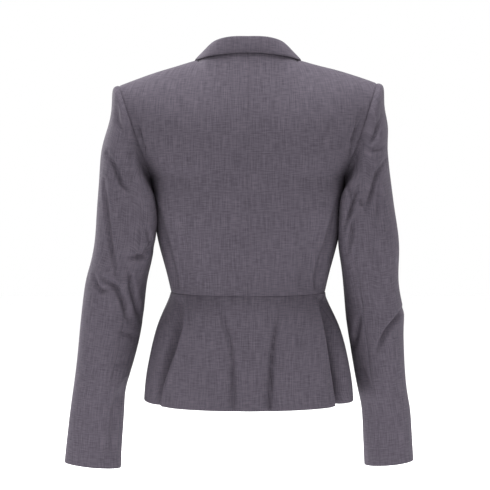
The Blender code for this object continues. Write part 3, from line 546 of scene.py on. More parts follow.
# %% Sheet from a grid
SHARP_ANGLE = 55.0


def add_sheet(name, outer, inner, across, along, cells=None):
    """Closed sheet between two grids, with the cloth's own width and length as its UV map, in metres."""
    rows, columns = outer.shape[:2]
    if cells is None:
        cells = np.ones((rows - 1, columns - 1), bool)
    count = rows * columns
    number = np.arange(count).reshape(rows, columns)
    corners = (number[:-1, :-1], number[:-1, 1:], number[1:, 1:], number[1:, :-1])
    quads = np.stack(corners, axis=-1)[cells]
    seen = {}
    for quad in quads.tolist():
        for start, end in zip(quad, quad[1:] + quad[:1]):
            if seen.pop((end, start), None) is None:
                seen[(start, end)] = True
    rim = [[end, start, start + count, end + count] for start, end in seen]
    faces = np.concatenate([quads, quads[:, ::-1] + count, np.array(rim)])
    points = np.concatenate([outer.reshape(-1, 3), inner.reshape(-1, 3)]) * MM
    grain = np.column_stack([np.tile(across.ravel(), 2), np.tile(along.ravel(), 2)]) * MM
    used = np.unique(faces)
    place = np.zeros(2 * count, int)
    place[used] = np.arange(len(used))
    mesh = bpy.data.meshes.new(name)
    mesh.from_pydata(points[used].tolist(), [], place[faces].tolist())
    cloth_map = mesh.uv_layers.new(name="cloth")
    vertex = np.zeros(len(mesh.loops), int)
    mesh.loops.foreach_get("vertex_index", vertex)
    cloth_map.uv.foreach_set("vector", grain[used][vertex].ravel())
    item = bpy.data.objects.new(name + "_cloth", mesh)
    bpy.context.scene.collection.objects.link(item)
    mesh.shade_smooth()
    mesh.set_sharp_from_angle(angle=math.radians(SHARP_ANGLE))
    if inside_out(mesh):
        mesh.flip_normals()
    return item


def inside_out(mesh):
    """Whether the closed sheet was wound inside out."""
    shell = bmesh.new()
    shell.from_mesh(mesh)
    volume = shell.calc_volume(signed=True)
    shell.free()
    return volume < 0.0


# %% [markdown]
# Worn suiting is never quite smooth. It drags from the armholes, breaks at the elbows and hangs in soft
# troughs from the waist. A simulation would put creases in places of its own, so the main ones are placed one
# by one. Each row of a crease table has a depth, a half width, a lean, which makes the trough wider on one
# side of its path and narrower on the other, and the path itself in X and Z, seen from the back or the front.
# The trough has low shoulders, because the cloth that sinks in has to come from beside it, and it is deepest
# half way along. Near a seam the creases fade out, because the stitches hold two pieces together there.

# %% Creases
CREASE_SHOULDER = 0.9
CREASE_TURN = 0.3
CREASE_END_DEPTH = 0.35
CREASE_END_SHARE = 0.3
SEEN_FROM = -0.2
SEEN_OVER = 0.6


def nearest_on_path(points, path):
    """Distance to a path, which side of it, and the share of its length reached there."""
    path = np.array(path, float)
    steps = np.diff(path, axis=0)
    lengths = np.linalg.norm(steps, axis=1)
    nearest = np.full(points.shape[:-1], np.inf)
    side = np.zeros(points.shape[:-1])
    reached = np.zeros(points.shape[:-1])
    for start, step, length, before in zip(path, steps, lengths, np.cumsum(lengths) - lengths):
        away = points - start
        share = np.clip(away @ step / length**2, 0.0, 1.0)
        gap = np.linalg.norm(away - share[..., None] * step, axis=-1)
        closer = gap < nearest
        nearest = np.where(closer, gap, nearest)
        side = np.where(closer, np.sign(away[..., 0] * step[1] - away[..., 1] * step[0]), side)
        reached = np.where(closer, (before + share * length) / lengths.sum(), reached)
    return nearest, side, reached


def press(grid, normals, creases, facing):
    """Troughs along paths seen from the back, facing 1, or from the front, facing -1."""
    shift = np.zeros(grid.shape[:2])
    seen = smooth((facing * normals[..., 1] - SEEN_FROM) / SEEN_OVER)
    for depth, half_width, lean, path in creases:
        gap, side, reached = nearest_on_path(grid[..., [0, 2]], path)
        width = half_width * (1.0 + lean * np.tanh(side * gap / (CREASE_TURN * half_width)))
        off = (gap / width) ** 2
        middle = smooth(np.minimum(reached, 1.0 - reached) / CREASE_END_SHARE)
        deep = depth * (CREASE_END_DEPTH + (1.0 - CREASE_END_DEPTH) * middle)
        shift += deep * seen * (1.0 - CREASE_SHOULDER * off) * np.exp(-off)
    return grid - normals * shift[..., None]


# %% Held at the seams, uneven between them
SEAM_HELD = 13.0
SWELL_SIZE = 42.0
SWELL_SHAPE = np.array([1.0, 1.0, 0.45])


def held(normals, *distances):
    """Normals that fade out towards the seams at these distances, so that their edges stay together."""
    for distance in distances:
        normals = normals * smooth(distance / SEAM_HELD)[..., None]
    return normals


def worn(grid, normals, back_creases, front_creases, height):
    """Cloth with its creases, and with soft swells of a height in millimetres."""
    grid = press(grid, normals, back_creases, 1.0)
    grid = press(grid, normals, front_creases, -1.0)
    points = (grid * (SWELL_SHAPE / SWELL_SIZE)).reshape(-1, 3)
    swell = np.array([noise.noise(Vector(point)) for point in points]).reshape(grid.shape[:2])
    return grid + normals * (height * swell)[..., None]


# %% [markdown]
# The cloth's own grain is kept as a map: its width is measured along each row and its length down the piece,
# so the threads stay straight with the cut.

# %% Laying a sheet
NOT_SIDEWAYS = np.array([0.0, 1.0, 1.0])
sheets = {}


def outward(grid, centre):
    """Normals turned away from a point or from one point for each row."""
    normals = grid_normals(grid)
    return normals if np.sum(normals * (grid - centre), axis=2).mean() > 0.0 else -normals


def straight_at_centre(normals):
    """Normals with no sideways part in the first column, so that left and right meet at the centre seam."""
    normals[:, 0] = unit(normals[:, 0] * NOT_SIDEWAYS)
    return normals


def lay_sheet(name, grid, normals, distances, across=None, along=None, cells=None, middle=0):
    """One cut piece as a closed sheet on its form."""
    dip, thick = turned_edges(distances)
    if across is None:
        across = edge_distance(grid, "first_column")
    across = (across - across[:, [middle]]) * (-1.0 if "right" in name else 1.0)
    if along is None:
        along = grid[..., 2]
    outer = grid - normals * dip[..., None]
    inner = outer - normals * thick[..., None]
    sheets[name] = add_sheet(name, outer, inner, across, along, cells)


# %% Right half from the left
RIGHT_SIDE = np.array([-1.0, 1.0, 1.0])
RIGHT_SHOULDER_LIFT = 4.0
LIFT_FROM_X = 80.0
LIFT_OVER_X = 120.0
LIFT_FROM_Z = -150.0
LIFT_OVER_Z = 100.0


def mirrored(grid):
    """The same grid on the wearer's right, where the shoulder sits a little higher."""
    result = grid * RIGHT_SIDE
    outer_part = smooth((grid[..., 0] - LIFT_FROM_X) / LIFT_OVER_X)
    upper_part = smooth((grid[..., 2] - LIFT_FROM_Z) / LIFT_OVER_Z)
    result[..., 2] += RIGHT_SHOULDER_LIFT * outer_part * upper_part
    return result


# %% [markdown]
# The two backs come first, because the photograph shows them best. Between the shoulder blades the cloth is
# smooth. Beside each armhole a short drag fold runs down from the sleeve seam, and soft upright troughs
# gather towards the waist where the panels are nipped in.

# %% Backs
BODY_CENTRE = np.array([0.0, -10.0, -200.0])
BACK_CREASES = [
    (6.5, 7.0, -0.7, [(172, -98), (168, -112), (164, -129), (160, -156)]),
    (4.0, 6.0, -0.3, [(139, -232), (131, -268), (121, -308), (113, -345), (110, -375)]),
    (3.0, 18.0, 0.0, [(108, -262), (99, -310), (94, -375)]),
    (0.8, 7.0, 0.0, [(98, -290), (92, -358)]),
    (0.6, 8.0, 0.0, [(60, -300), (52, -356)]),
    (7.0, 8.0, 0.7, [(-173, -90), (-169, -104), (-164, -122), (-160, -156)]),
    (6.5, 7.0, 0.3, [(-138, -222), (-131, -257), (-123, -287), (-115, -312), (-109, -340), (-108, -375)]),
    (4.5, 20.0, 0.0, [(-106, -256), (-95, -305), (-88, -375)]),
    (1.2, 7.0, 0.0, [(-116, -290), (-106, -356)]),
    (0.9, 7.0, 0.0, [(-84, -290), (-80, -356)]),
    (0.6, 8.0, 0.0, [(-58, -296), (-54, -356)]),
]
BACK_SWELL = 0.5

back_normals = straight_at_centre(outward(back_grid, BODY_CENTRE))
back_edges = edges_of(back_grid, "faint seam", "soft seam", "waist seam", "soft seam")
# Armhole edges of the backs and the fronts, for the sleeves that are sewn to them.
armhole_rims = {"left": [], "right": []}
for side, grid, normals in (
    ("left", back_grid, back_normals),
    ("right", mirrored(back_grid), back_normals * RIGHT_SIDE),
):
    push = held(normals, edge_distance(back_grid, "last_column"), edge_distance(back_grid, "first_row"))
    grid = worn(grid, push, BACK_CREASES, [], BACK_SWELL)
    armhole_rims[side].append((grid[:, -1], normals[:, -1]))
    lay_sheet("back_" + side, grid, normals, back_edges)

# %% [markdown]
# The fronts are hidden in the photograph, so they are finished plainly, with creases like those of the back.
# The right front laps over the left by a few millimetres of height near the centre.

# %% Fronts
LAP_LIFT = 2.4
LAP_FULL = 24.0
LAP_BLEND = 75.0
LAP_BEHIND_Y = -50.0
FRONT_CREASES = [
    (2.8, 5.0, 0.2, [(168, -104), (163, -128), (156, -156)]),
    (1.4, 8.0, 0.0, [(122, -262), (114, -310), (106, -352)]),
    (0.9, 8.0, 0.0, [(70, -285), (62, -352)]),
    (2.6, 5.0, -0.2, [(-170, -98), (-164, -124), (-155, -152)]),
    (1.3, 8.0, 0.0, [(-116, -268), (-110, -312), (-104, -352)]),
    (0.9, 8.0, 0.0, [(-74, -290), (-60, -352)]),
]


def lift_lap(grid):
    """Moves the overlapping front outwards near the centre."""
    lifted = grid.copy()
    share = smooth((LAP_BLEND - grid[:, :, 0]) / (LAP_BLEND - LAP_FULL))
    share *= grid[:, :, 1] < LAP_BEHIND_Y
    lifted[:, :, 1] -= LAP_LIFT * share
    return lifted


front_normals = front_out(front_grid)
side_distance = edge_distance(front_grid, "first_column")
side_distance[UNDERARM_ROW + 1 :] = np.inf
front_edges = edges_of(front_grid, None, "fold", "waist seam", "soft seam")
front_edges += [("seam", side_distance), ("soft seam", armhole_distance(front_grid))]
front_faces = {}
for side, grid, normals in (
    ("left", front_grid, front_normals),
    ("right", mirrored(lift_lap(front_grid)), front_normals * RIGHT_SIDE),
):
    push = held(normals, armhole_distance(front_grid), edge_distance(front_grid, "first_row"))
    grid = press(grid, push, FRONT_CREASES, -1.0)
    front_faces[side] = (grid, normals)
    armhole_rims[side].append((grid[:, 0], normals[:, 0]))
    lay_sheet("front_" + side, grid, normals, front_edges, cells=front_cells, middle=-1)

# %% [markdown]
# A lapel is the top of the front edge, turned back along the roll line. It lies on the front, so it is made
# from the front's own points, moved out by the thickness of the cloth below it. Its width grows from the
# break, just above the button, and its top edge slants down from the collar.

# %% Lapels
LAPEL_SHARES = (0.0, 0.25, 0.5, 0.75, 0.9, 1.0)
LAPEL_WIDTHS = (8.0, 32.0, 52.0, 68.0, 74.0, 58.0)
LAPEL_BREAK = -302.0
LAPEL_TOP = -30.0
LAPEL_LIFT = 0.7
LAPEL_CLOTH = 1.6
LAPEL_LEAST = 6.0
LAPEL_LINES = np.linspace(0.0, 1.0, 26)
COVER_GAP = 2.0


def lapel_face(grid, normals, covered):
    """Lapel points on a front, moved out; a covered lapel starts beside the front that laps over it."""
    chest = grid[:, ARM_COLUMN:][:, ::-1]
    chest_out = normals[:, ARM_COLUMN:][:, ::-1]
    points = []
    out = []
    for line, away in zip(chest, chest_out):
        share = (line[0, 2] - LAPEL_BREAK) / (LAPEL_TOP - LAPEL_BREAK)
        if not 0.0 <= share <= 1.0:
            continue
        reach = np.interp(share, LAPEL_SHARES, LAPEL_WIDTHS)
        begin = max(0.0, COVER_GAP - 2.0 * line[0, 0]) if covered else 0.0
        if begin > reach - LAPEL_LEAST:
            continue
        places = begin + (reach - begin) * LAPEL_LINES
        points.append(along_line(line, places))
        out.append(along_line(line, places, away))
    points = np.array(points)
    out = unit(np.array(out))
    return points + out * (LAPEL_LIFT + LAPEL_CLOTH), out


for side, (grid, normals) in front_faces.items():
    face, out = lapel_face(grid, normals, side == "left")
    lay_sheet("lapel_" + side, face, out, edges_of(face, "fold", "fold", "fold", "fold"))

# %% [markdown]
# The collar has a stand that rises from the neck seam, and a fall that rolls over it and lies on the back and
# the shoulders. Both follow the same stations round the neck: a point on the seam, one on the roll and one on
# the outer edge. Two layers and a canvas make the collar firmer and thicker than the body cloth. The outer
# edge of the fall is drawn down or let up a few millimetres along its length and tucked in at the centre
# back, so that it arches there and rests on the cloth below.

# %% Collar stations and stand
# Points on the neck seam, on the roll and on the outer edge, from the centre back to the front.
COLLAR = [
    (0.0, 60.0, 14.0, 0.0, 57.0, 31.5, 0.0, 67.5, 3.5),
    (28.0, 58.0, 13.0, 24.0, 55.0, 31.5, 31.0, 64.0, 3.5),
    (52.0, 47.0, 11.0, 43.0, 45.0, 29.5, 57.0, 52.0, 3.5),
    (69.0, 29.0, 9.0, 55.0, 29.0, 26.0, 75.0, 32.0, 4.0),
    (78.0, 8.0, 6.0, 61.0, 9.0, 20.0, 84.0, 10.0, 5.0),
    (77.5, -14.0, -4.5, 66.5, -12.0, 6.0, 88.5, -14.0, -4.5),
    (73.0, -44.0, -28.0, 70.5, -43.5, -22.5, 91.0, -44.0, -27.0),
]
STAND_LIFT = 0.5
STAND_END = 2.0 / 12.0
COLLAR_LINES = np.linspace(0.0, 1.0, 65)
STAND_LINES = np.linspace(0.0, 1.0, 9)
NECK_CENTRE = np.array([0.0, 0.0, -20.0])


def collar_line(first):
    """One line of the collar table round both sides of the neck."""
    half = even_spline([row[first : first + 3] for row in COLLAR], COLLAR_LINES)
    return np.vstack([mirrored(half)[:0:-1], half])


neck_line = collar_line(0)
fold_line = collar_line(3)
edge_line = collar_line(6)
middle = len(COLLAR_LINES) - 1

stand = neck_line + (fold_line - neck_line) * STAND_LINES[:, None, None]
stand[0] += unit(fold_line - neck_line) * STAND_LIFT
short = round(STAND_END * middle)
stand = stand[:, short:-short]
stand_out = outward(stand, NECK_CENTRE)
stand_edges = edges_of(stand, "fold", "fold", None, "fold")
lay_sheet("collar_stand", stand, stand_out, stand_edges, along=edge_distance(stand, "first_row"))

# %% Collar fall
COLLAR_CLOTH = 2.0
# Share of the way from the roll to the edge, and how far the cloth bulges there.
FALL_SECTION = [(-0.05, -1.5), (-0.05, 1.2), (0.05, 2.8), (0.30, 3.0), (0.65, 2.2), (1.0, 1.0)]
FALL_LINES = np.linspace(0.0, 1.0, 33)
DROP_CURVE = 2
TUCK_CURVE = 5
# How far the edge drops and how far it is tucked in, from the centre back to the front.
FALL_REST = [
    (-2.6, 2.4), (-2.3, 2.2), (-1.5, 1.7), (-0.6, 1.2), (0.1, 0.7), (0.8, 0.3), (2.2, 0.0),
    (3.1, 0.0), (2.4, 0.0), (4.1, 0.0), (3.2, 0.0), (2.0, 0.0), (4.2, 0.0),
]
fall_away = unit(np.cross(np.gradient(fold_line, axis=0), edge_line - fold_line))
if fall_away[middle, 1] < 0.0:
    fall_away = -fall_away
section = even_spline(FALL_SECTION, FALL_LINES)
fall = np.stack([fold_line + (edge_line - fold_line) * share + fall_away * bulge for share, bulge in section])
rest = even_spline(FALL_REST, COLLAR_LINES)
drop, tuck = np.concatenate([rest[:0:-1], rest]).T
down = np.clip(section[:, :1], 0.0, 1.0)
fall[..., 2] += COLLAR_CLOTH - drop * down**DROP_CURVE
fall[..., 1] -= tuck * down**TUCK_CURVE
fall_out = outward(fall, NECK_CENTRE)
fall_edges = edges_of(fall, "fold", "fold", "fold", "fold")
lay_sheet("collar_fall", fall, fall_out, fall_edges, along=edge_distance(fall, "first_row"), middle=middle)

# %% [markdown]
# Below the waist seam the peplum flares to the hem. It hangs in a few soft troughs that deepen downwards: one
# on each side of the centre back and one nearer each side seam. The one on the right side is deeper and
# crisper, like a pressed pleat whose edge stands proud of the cloth beside it.

# %% Rings and folds of the peplum
PEPLUM_RINGS = [
    BODY_RINGS[0],
    (-379.0, 129.0, 91.0, 0.0, -110.0, 4.0, 0.59, 0.58),
    (-405.0, 140.0, 101.0, 0.0, -119.0, 2.0, 0.60, 0.59),
    (-432.0, 149.0, 109.0, 0.0, -124.0, 0.0, 0.61, 0.60),
    (-470.0, 158.0, 116.0, 0.0, -129.0, 0.0, 0.62, 0.61),
    (-507.0, 164.5, 121.0, 0.0, -132.0, 3.0, 0.62, 0.61),
    (-536.0, 167.0, 124.0, 0.0, -134.0, 5.0, 0.62, 0.61),
]
# X of the front edge at the waist and at the hem.
PEPLUM_EDGE = (-20.0, -6.0)
FOLD_EASE = 12.0
FOLD_FULL = 0.85
FRONT_FOLD_Y = -20.0
# X at the waist and at the hem, depth, half width, and the share of the length where the fold starts.
BACK_FOLDS_LEFT = [(46.0, 21.0, 7.0, 12.0, 0.08), (104.0, 135.0, 6.0, 13.0, 0.0)]
BACK_FOLDS_RIGHT = [(46.0, 29.0, 8.0, 11.0, 0.08), (112.0, 141.0, 9.5, 10.0, 0.0)]
FRONT_FOLDS = [(52.0, 70.0, 5.0, 14.0, 0.1), (100.0, 128.0, 5.0, 14.0, 0.05)]
PEPLUM_CREASES = [
    (5.0, 4.5, 0.0, [(46, -378), (40, -400), (31, -425), (26, -448), (23, -500), (23, -560)]),
    (10.0, 21.0, -0.75, [(102, -352), (109, -420), (126, -478), (138, -517), (150, -580)]),
    (
        10.0, 6.0, -0.4,
        [(107, -380), (109, -402), (114, -420), (122, -451), (131, -478), (141, -507), (146, -545)],
    ),
    (5.7, 4.5, 0.0, [(-48, -378), (-46, -400), (-39, -438), (-35, -478), (-32, -540), (-31, -580)]),
    (1.6, 3.5, 0.0, [(-50, -440), (-48, -480), (-45, -540)]),
    (29.0, 12.5, 0.5, [(-112, -350), (-119, -392), (-127, -437), (-132, -470), (-138, -505), (-147, -585)]),
    (4.0, 4.0, 0.0, [(-130, -430), (-142, -500), (-151, -565)]),
    (1.1, 8.0, 0.0, [(84, -372), (92, -470)]),
    (1.1, 8.0, 0.0, [(-78, -372), (-86, -460)]),
]
PEPLUM_FRONT_CREASES = [
    (2.6, 7.0, 0.0, [(54, -372), (60, -430), (68, -490), (72, -560)]),
    (2.4, 7.0, 0.0, [(102, -372), (114, -440), (127, -510), (132, -560)]),
    (2.8, 6.5, 0.0, [(-56, -372), (-63, -440), (-70, -500), (-73, -560)]),
    (2.2, 7.0, 0.0, [(-104, -372), (-118, -450), (-128, -520), (-132, -560)]),
]
PEPLUM_CENTRE = np.array([0.0, -10.0, -450.0])
PEPLUM_LEVELS = -PEPLUM_RINGS[0][0] + line_places(PEPLUM_RINGS[0][0] - PEPLUM_RINGS[-1][0])
PEPLUM_WIDTH = 225.0
PEPLUM_SHARES = line_places(PEPLUM_WIDTH) / PEPLUM_WIDTH
PEPLUM_ARM = 1.0 / 3.0
print("peplum, rows and columns:", len(PEPLUM_LEVELS), len(PEPLUM_SHARES))

# %% Peplum


def peplum_panel(first_turn, last_turn, folds, edges=None):
    """Left peplum panel between two places on its rings, with its folds."""
    keys = []
    at_side = PEPLUM_SHARES < PEPLUM_ARM
    for ring in PEPLUM_RINGS:
        if edges is None:
            keys.append(ring_points(ring, first_turn + (last_turn - first_turn) * PEPLUM_SHARES))
            continue
        down = (PEPLUM_RINGS[0][0] - ring[0]) / (PEPLUM_RINGS[0][0] - PEPLUM_RINGS[-1][0])
        edge_x = edges[0] + (edges[1] - edges[0]) * down
        arm = ring_points(ring, first_turn + (FRONT_BASE - first_turn) * PEPLUM_SHARES[at_side] / PEPLUM_ARM)
        rest = front_part(ring, edge_x, (PEPLUM_SHARES[~at_side] - PEPLUM_ARM) / (1.0 - PEPLUM_ARM))
        keys.append(np.vstack([arm, rest]))
    grid = spline([-ring[0] for ring in PEPLUM_RINGS], keys, PEPLUM_LEVELS)
    down = (PEPLUM_LEVELS - PEPLUM_LEVELS[0]) / (PEPLUM_LEVELS[-1] - PEPLUM_LEVELS[0])
    normals = outward(grid, PEPLUM_CENTRE)
    for x_top, x_hem, depth, half_width, start in folds:
        middle = x_top + (x_hem - x_top) * down
        ramp = smooth((down - start) / (FOLD_FULL - start)) * depth
        trough = np.exp(-(((grid[:, :, 0] - middle[:, None]) / half_width) ** 2))
        if edges is None:
            trough *= smooth(grid[:, :, 0] / FOLD_EASE)
        else:
            trough *= grid[:, :, 1] < FRONT_FOLD_Y
        grid = grid - normals * (ramp[:, None] * trough)[:, :, None]
    return grid


PEPLUM_PIECES = {
    "peplum_back_left": (0.0, SIDE_SEAM, BACK_FOLDS_LEFT),
    "peplum_back_right": (0.0, SIDE_SEAM, BACK_FOLDS_RIGHT),
    "peplum_front_left": (SIDE_SEAM, CENTRE_FRONT, FRONT_FOLDS, PEPLUM_EDGE),
    "peplum_front_right": (SIDE_SEAM, CENTRE_FRONT, FRONT_FOLDS, PEPLUM_EDGE),
}
for name, cut in PEPLUM_PIECES.items():
    grid = peplum_panel(*cut)
    at_back = "back" in name
    if name == "peplum_front_right":
        grid = lift_lap(grid)
    upright = ("faint seam", "seam") if at_back else ("seam", "fold")
    edges = edges_of(grid, *upright, "waist seam", "hem")
    if "right" in name:
        grid = mirrored(grid)
    normals = outward(grid, PEPLUM_CENTRE)
    if at_back:
        normals = straight_at_centre(normals)
    push = held(normals, edge_distance(grid, "first_row"))
    grid = worn(grid, push, PEPLUM_CREASES, PEPLUM_FRONT_CREASES, BACK_SWELL)
    lay_sheet(name, grid, normals, edges)

# %% [markdown]
# Each sleeve is cut in two: an upper piece round the outside of the arm and a narrower under piece. Their
# rings go from the armhole, with a slightly raised head, to a plain cuff, and bend forward at the elbow. The
# two sleeves hang a little differently, so each has its own table below the head.

# %% Rings of the sleeves
# X and Z of the outer and of the inner side, Y of the middle, half depth at the back and at the front, and
# how far the inner back edge is squared.
SLEEVE_HEAD = [
    (205.0, -36.0, 150.0, -192.0, 4.0, 60.0, 58.0, 0.0),
    (211.5, -37.5, 150.5, -194.0, 5.0, 61.5, 59.5, 0.0),
    (216.0, -47.0, 150.7, -197.0, 6.0, 62.5, 60.5, 0.0),
]
SLEEVE_LEFT = SLEEVE_HEAD + [
    (217.5, -74.0, 150.6, -202.0, 8.0, 62.5, 62.0, 2.0),
    (223.0, -104.0, 150.2, -209.0, 16.0, 58.0, 66.0, 6.0),
    (232.0, -140.0, 148.6, -219.0, 22.5, 53.5, 72.0, 11.0),
    (235.0, -185.0, 145.6, -234.0, 27.0, 50.0, 76.0, 12.0),
    (238.0, -232.0, 143.6, -255.0, 30.0, 47.0, 78.0, 11.0),
    (242.0, -281.0, 147.6, -287.0, 26.0, 47.5, 67.0, 9.0),
    (250.0, -320.0, 154.0, -320.0, 18.0, 48.0, 61.0, 6.0),
    (260.0, -358.0, 162.5, -358.0, 7.0, 50.0, 55.0, 3.0),
    (270.5, -434.0, 173.0, -434.0, -10.0, 48.0, 48.0, 0.0),
    (281.5, -512.0, 195.0, -512.0, -28.0, 43.0, 43.0, 0.0),
    (289.0, -556.0, 201.5, -556.0, -39.0, 39.0, 39.0, 0.0),
    (297.0, -610.0, 206.5, -612.0, -52.0, 36.0, 36.0, 0.0),
    (301.5, -647.0, 209.0, -656.0, -61.0, 35.0, 35.0, 0.0),
]
SLEEVE_RIGHT = SLEEVE_HEAD + [
    (217.0, -74.0, 150.6, -202.0, 8.0, 62.5, 62.0, 2.0),
    (221.5, -104.0, 150.2, -209.0, 16.0, 58.0, 66.0, 6.0),
    (221.0, -138.0, 148.6, -219.0, 22.5, 53.5, 72.0, 11.0),
    (225.0, -185.0, 145.6, -234.0, 27.0, 50.0, 76.0, 12.0),
    (231.0, -232.0, 143.4, -255.0, 30.0, 47.0, 78.0, 11.0),
    (238.5, -281.0, 142.8, -287.0, 26.0, 47.5, 67.0, 9.0),
    (239.0, -320.0, 147.4, -320.0, 18.0, 48.0, 61.0, 6.0),
    (241.0, -358.0, 152.3, -358.0, 7.0, 50.0, 55.0, 3.0),
    (249.5, -398.0, 156.5, -398.0, -3.0, 50.0, 50.0, 1.0),
    (250.0, -434.0, 162.0, -434.0, -10.0, 48.0, 48.0, 0.0),
    (256.0, -512.0, 176.0, -512.0, -28.0, 44.0, 44.0, 0.0),
    (264.0, -556.0, 185.0, -556.0, -39.0, 41.0, 41.0, 0.0),
    (269.5, -606.0, 189.0, -608.0, -52.0, 39.5, 39.5, 0.0),
    (272.5, -643.0, 191.5, -651.0, -61.0, 38.5, 38.5, 0.0),
]
SLEEVE_LENGTH = 640.0
SLEEVE_STEP = 2.2
SLEEVE_SHARES = line_places(SLEEVE_LENGTH, step=SLEEVE_STEP) / SLEEVE_LENGTH
print("sleeve rows:", len(SLEEVE_SHARES))

# %% [markdown]
# The long soft creases down the back of the arm and the short breaks at the elbow differ from left to right,
# as they do on the real jacket. On the front, which doesn't show, a few of the same kind are enough.

# %% Creases of the sleeves
LEFT_CREASES = [
    (3.6, 6.0, 0.0, [(206, -70), (203, -100), (193, -117)]),
    (6.3, 6.0, 0.2, [(220, -148), (210, -165), (196, -196), (184, -207)]),
    (5.1, 4.5, 0.3, [(225, -190), (220, -243), (212, -298), (202, -343)]),
    (1.5, 4.0, 0.0, [(179, -142), (179, -201)]),
    (7.2, 5.0, 0.0, [(184, -309), (161, -307), (146, -288)]),
    (3.9, 4.0, 0.0, [(156, -262), (150, -292)]),
    (4.8, 4.5, 0.0, [(241, -337), (237, -353), (229, -361), (216, -357)]),
    (6.9, 5.5, 0.2, [(226, -342), (206, -355), (195, -380), (189, -405)]),
    (6.3, 5.0, 0.0, [(185, -325), (181, -362), (169, -410)]),
    (3.3, 5.0, 0.0, [(203, -425), (178, -436)]),
    (2.4, 7.0, 0.0, [(212, -484), (192, -471)]),
    (4.8, 7.0, 0.2, [(196, -510), (210, -537), (217, -560), (222, -630)]),
]
RIGHT_CREASES = [
    (4.8, 5.0, 0.0, [(-208, -90), (-199, -116), (-190, -133)]),
    (2.7, 5.0, 0.0, [(-188, -146), (-215, -138)]),
    (6.6, 5.0, 0.2, [(-214, -157), (-199, -181), (-190, -210), (-183, -235)]),
    (3.3, 4.0, 0.0, [(-203, -186), (-199, -266)]),
    (6.6, 4.5, 0.0, [(-169, -200), (-162, -228), (-149, -261)]),
    (3.9, 4.0, 0.0, [(-153, -200), (-160, -224)]),
    (3.6, 4.0, 0.0, [(-172, -216), (-177, -233)]),
    (4.8, 5.0, 0.0, [(-166, -243), (-152, -304)]),
    (2.0, 4.0, 0.0, [(-219, -260), (-213, -285)]),
    (2.0, 4.0, 0.0, [(-192, -280), (-188, -308)]),
    (7.2, 4.8, 0.3, [(-247, -389), (-216, -425), (-201, -456)]),
    (4.8, 5.5, 0.0, [(-175, -402), (-168, -452)]),
    (3.9, 6.0, 0.0, [(-174, -480), (-191, -513)]),
]
LEFT_FRONT_CREASES = [
    (5.1, 6.0, 0.0, [(222, -145), (208, -172), (192, -204)]),
    (3.6, 5.0, 0.0, [(206, -210), (200, -262)]),
    (6.3, 5.0, 0.0, [(196, -344), (216, -352), (238, -366)]),
    (6.0, 5.5, 0.0, [(188, -370), (214, -382), (242, -399)]),
    (3.9, 5.5, 0.0, [(212, -418), (238, -453)]),
]
RIGHT_FRONT_CREASES = [
    (4.8, 6.0, 0.0, [(-220, -136), (-206, -166), (-192, -200)]),
    (3.3, 5.0, 0.0, [(-202, -206), (-196, -256)]),
    (6.0, 5.0, 0.0, [(-186, -338), (-206, -349), (-228, -362)]),
    (5.7, 5.5, 0.0, [(-180, -366), (-206, -378), (-232, -391)]),
    (3.9, 5.5, 0.0, [(-202, -420), (-230, -450)]),
]
print("creases of the left and the right sleeve:", len(LEFT_CREASES), len(RIGHT_CREASES))

# %% [markdown]
# Below the armpit a sleeve lies against the body. There its inner side follows the body's side, a millimetre
# away, and its inner back edge is squared, so that only a narrow dark line shows between sleeve and back. At
# the armhole its top edge is turned in along the edge of the body, so that both turnings lie side by side.

# %% Form of a sleeve
SIDE_CLEAR = 1.0
SIDE_CLEAR_BELOW = -203.0
UNDERARM_CLEAR = 1.2
UNDERARM_FROM = -230.0
UNDERARM_RISE = 16.0
SIDE_LEVELS = 24
SIDE_POINTS = 160


def clear_of_side(points):
    """Sleeve points moved out to the body's side where the sleeve is pressed against it."""
    levels = np.linspace(RING_LEVELS[0], RING_LEVELS[-1], SIDE_LEVELS)
    nearest = np.clip(np.searchsorted(levels, points[:, 2]), 1, SIDE_LEVELS - 1)
    share = np.clip((points[:, 2] - levels[nearest - 1]) / (levels[1] - levels[0]), 0.0, 1.0)
    reach = []
    for ring in spline(RING_LEVELS, BODY_RINGS, levels):
        side = ring_points(ring, np.linspace(CENTRE_FRONT, 0.0, SIDE_POINTS))
        reach.append(np.interp(points[:, 1], side[:, 1], side[:, 0]))
    reach = np.array(reach)
    number = np.arange(len(points))
    limit = reach[nearest - 1, number] * (1.0 - share) + reach[nearest, number] * share + SIDE_CLEAR
    limit += UNDERARM_CLEAR * smooth((points[:, 2] - UNDERARM_FROM) / UNDERARM_RISE)
    pressed = points.copy()
    pressed[:, 0] = np.where(points[:, 2] < SIDE_CLEAR_BELOW, np.maximum(points[:, 0], limit), points[:, 0])
    return pressed


def sleeve_panel(table, angles):
    """Sleeve points at the given angles round every ring, and the middle of each ring."""
    turn = np.radians(angles)
    grid = []
    middles = []
    square = np.where((np.cos(turn) < 0.0) & (np.sin(turn) > 0.0), np.sin(2.0 * turn) ** 2, 0.0)
    for x_out, z_out, x_in, z_in, y_mid, half_back, half_front, corner in even_spline(table, SLEEVE_SHARES):
        outer = np.array([x_out, y_mid, z_out])
        inner = np.array([x_in, y_mid, z_in])
        depth = np.where(np.sin(turn) > 0.0, half_back, half_front)
        points = (outer + inner) / 2.0 + np.cos(turn)[:, None] * (outer - inner) / 2.0
        points[:, 0] -= corner * square
        points[:, 1] += np.sin(turn) * depth + corner * square
        grid.append(points)
        middles.append((outer + inner) / 2.0)
    grid = np.array(grid)
    return clear_of_side(grid.reshape(-1, 3)).reshape(grid.shape), np.array(middles)


# %% Grain and top edge of a sleeve


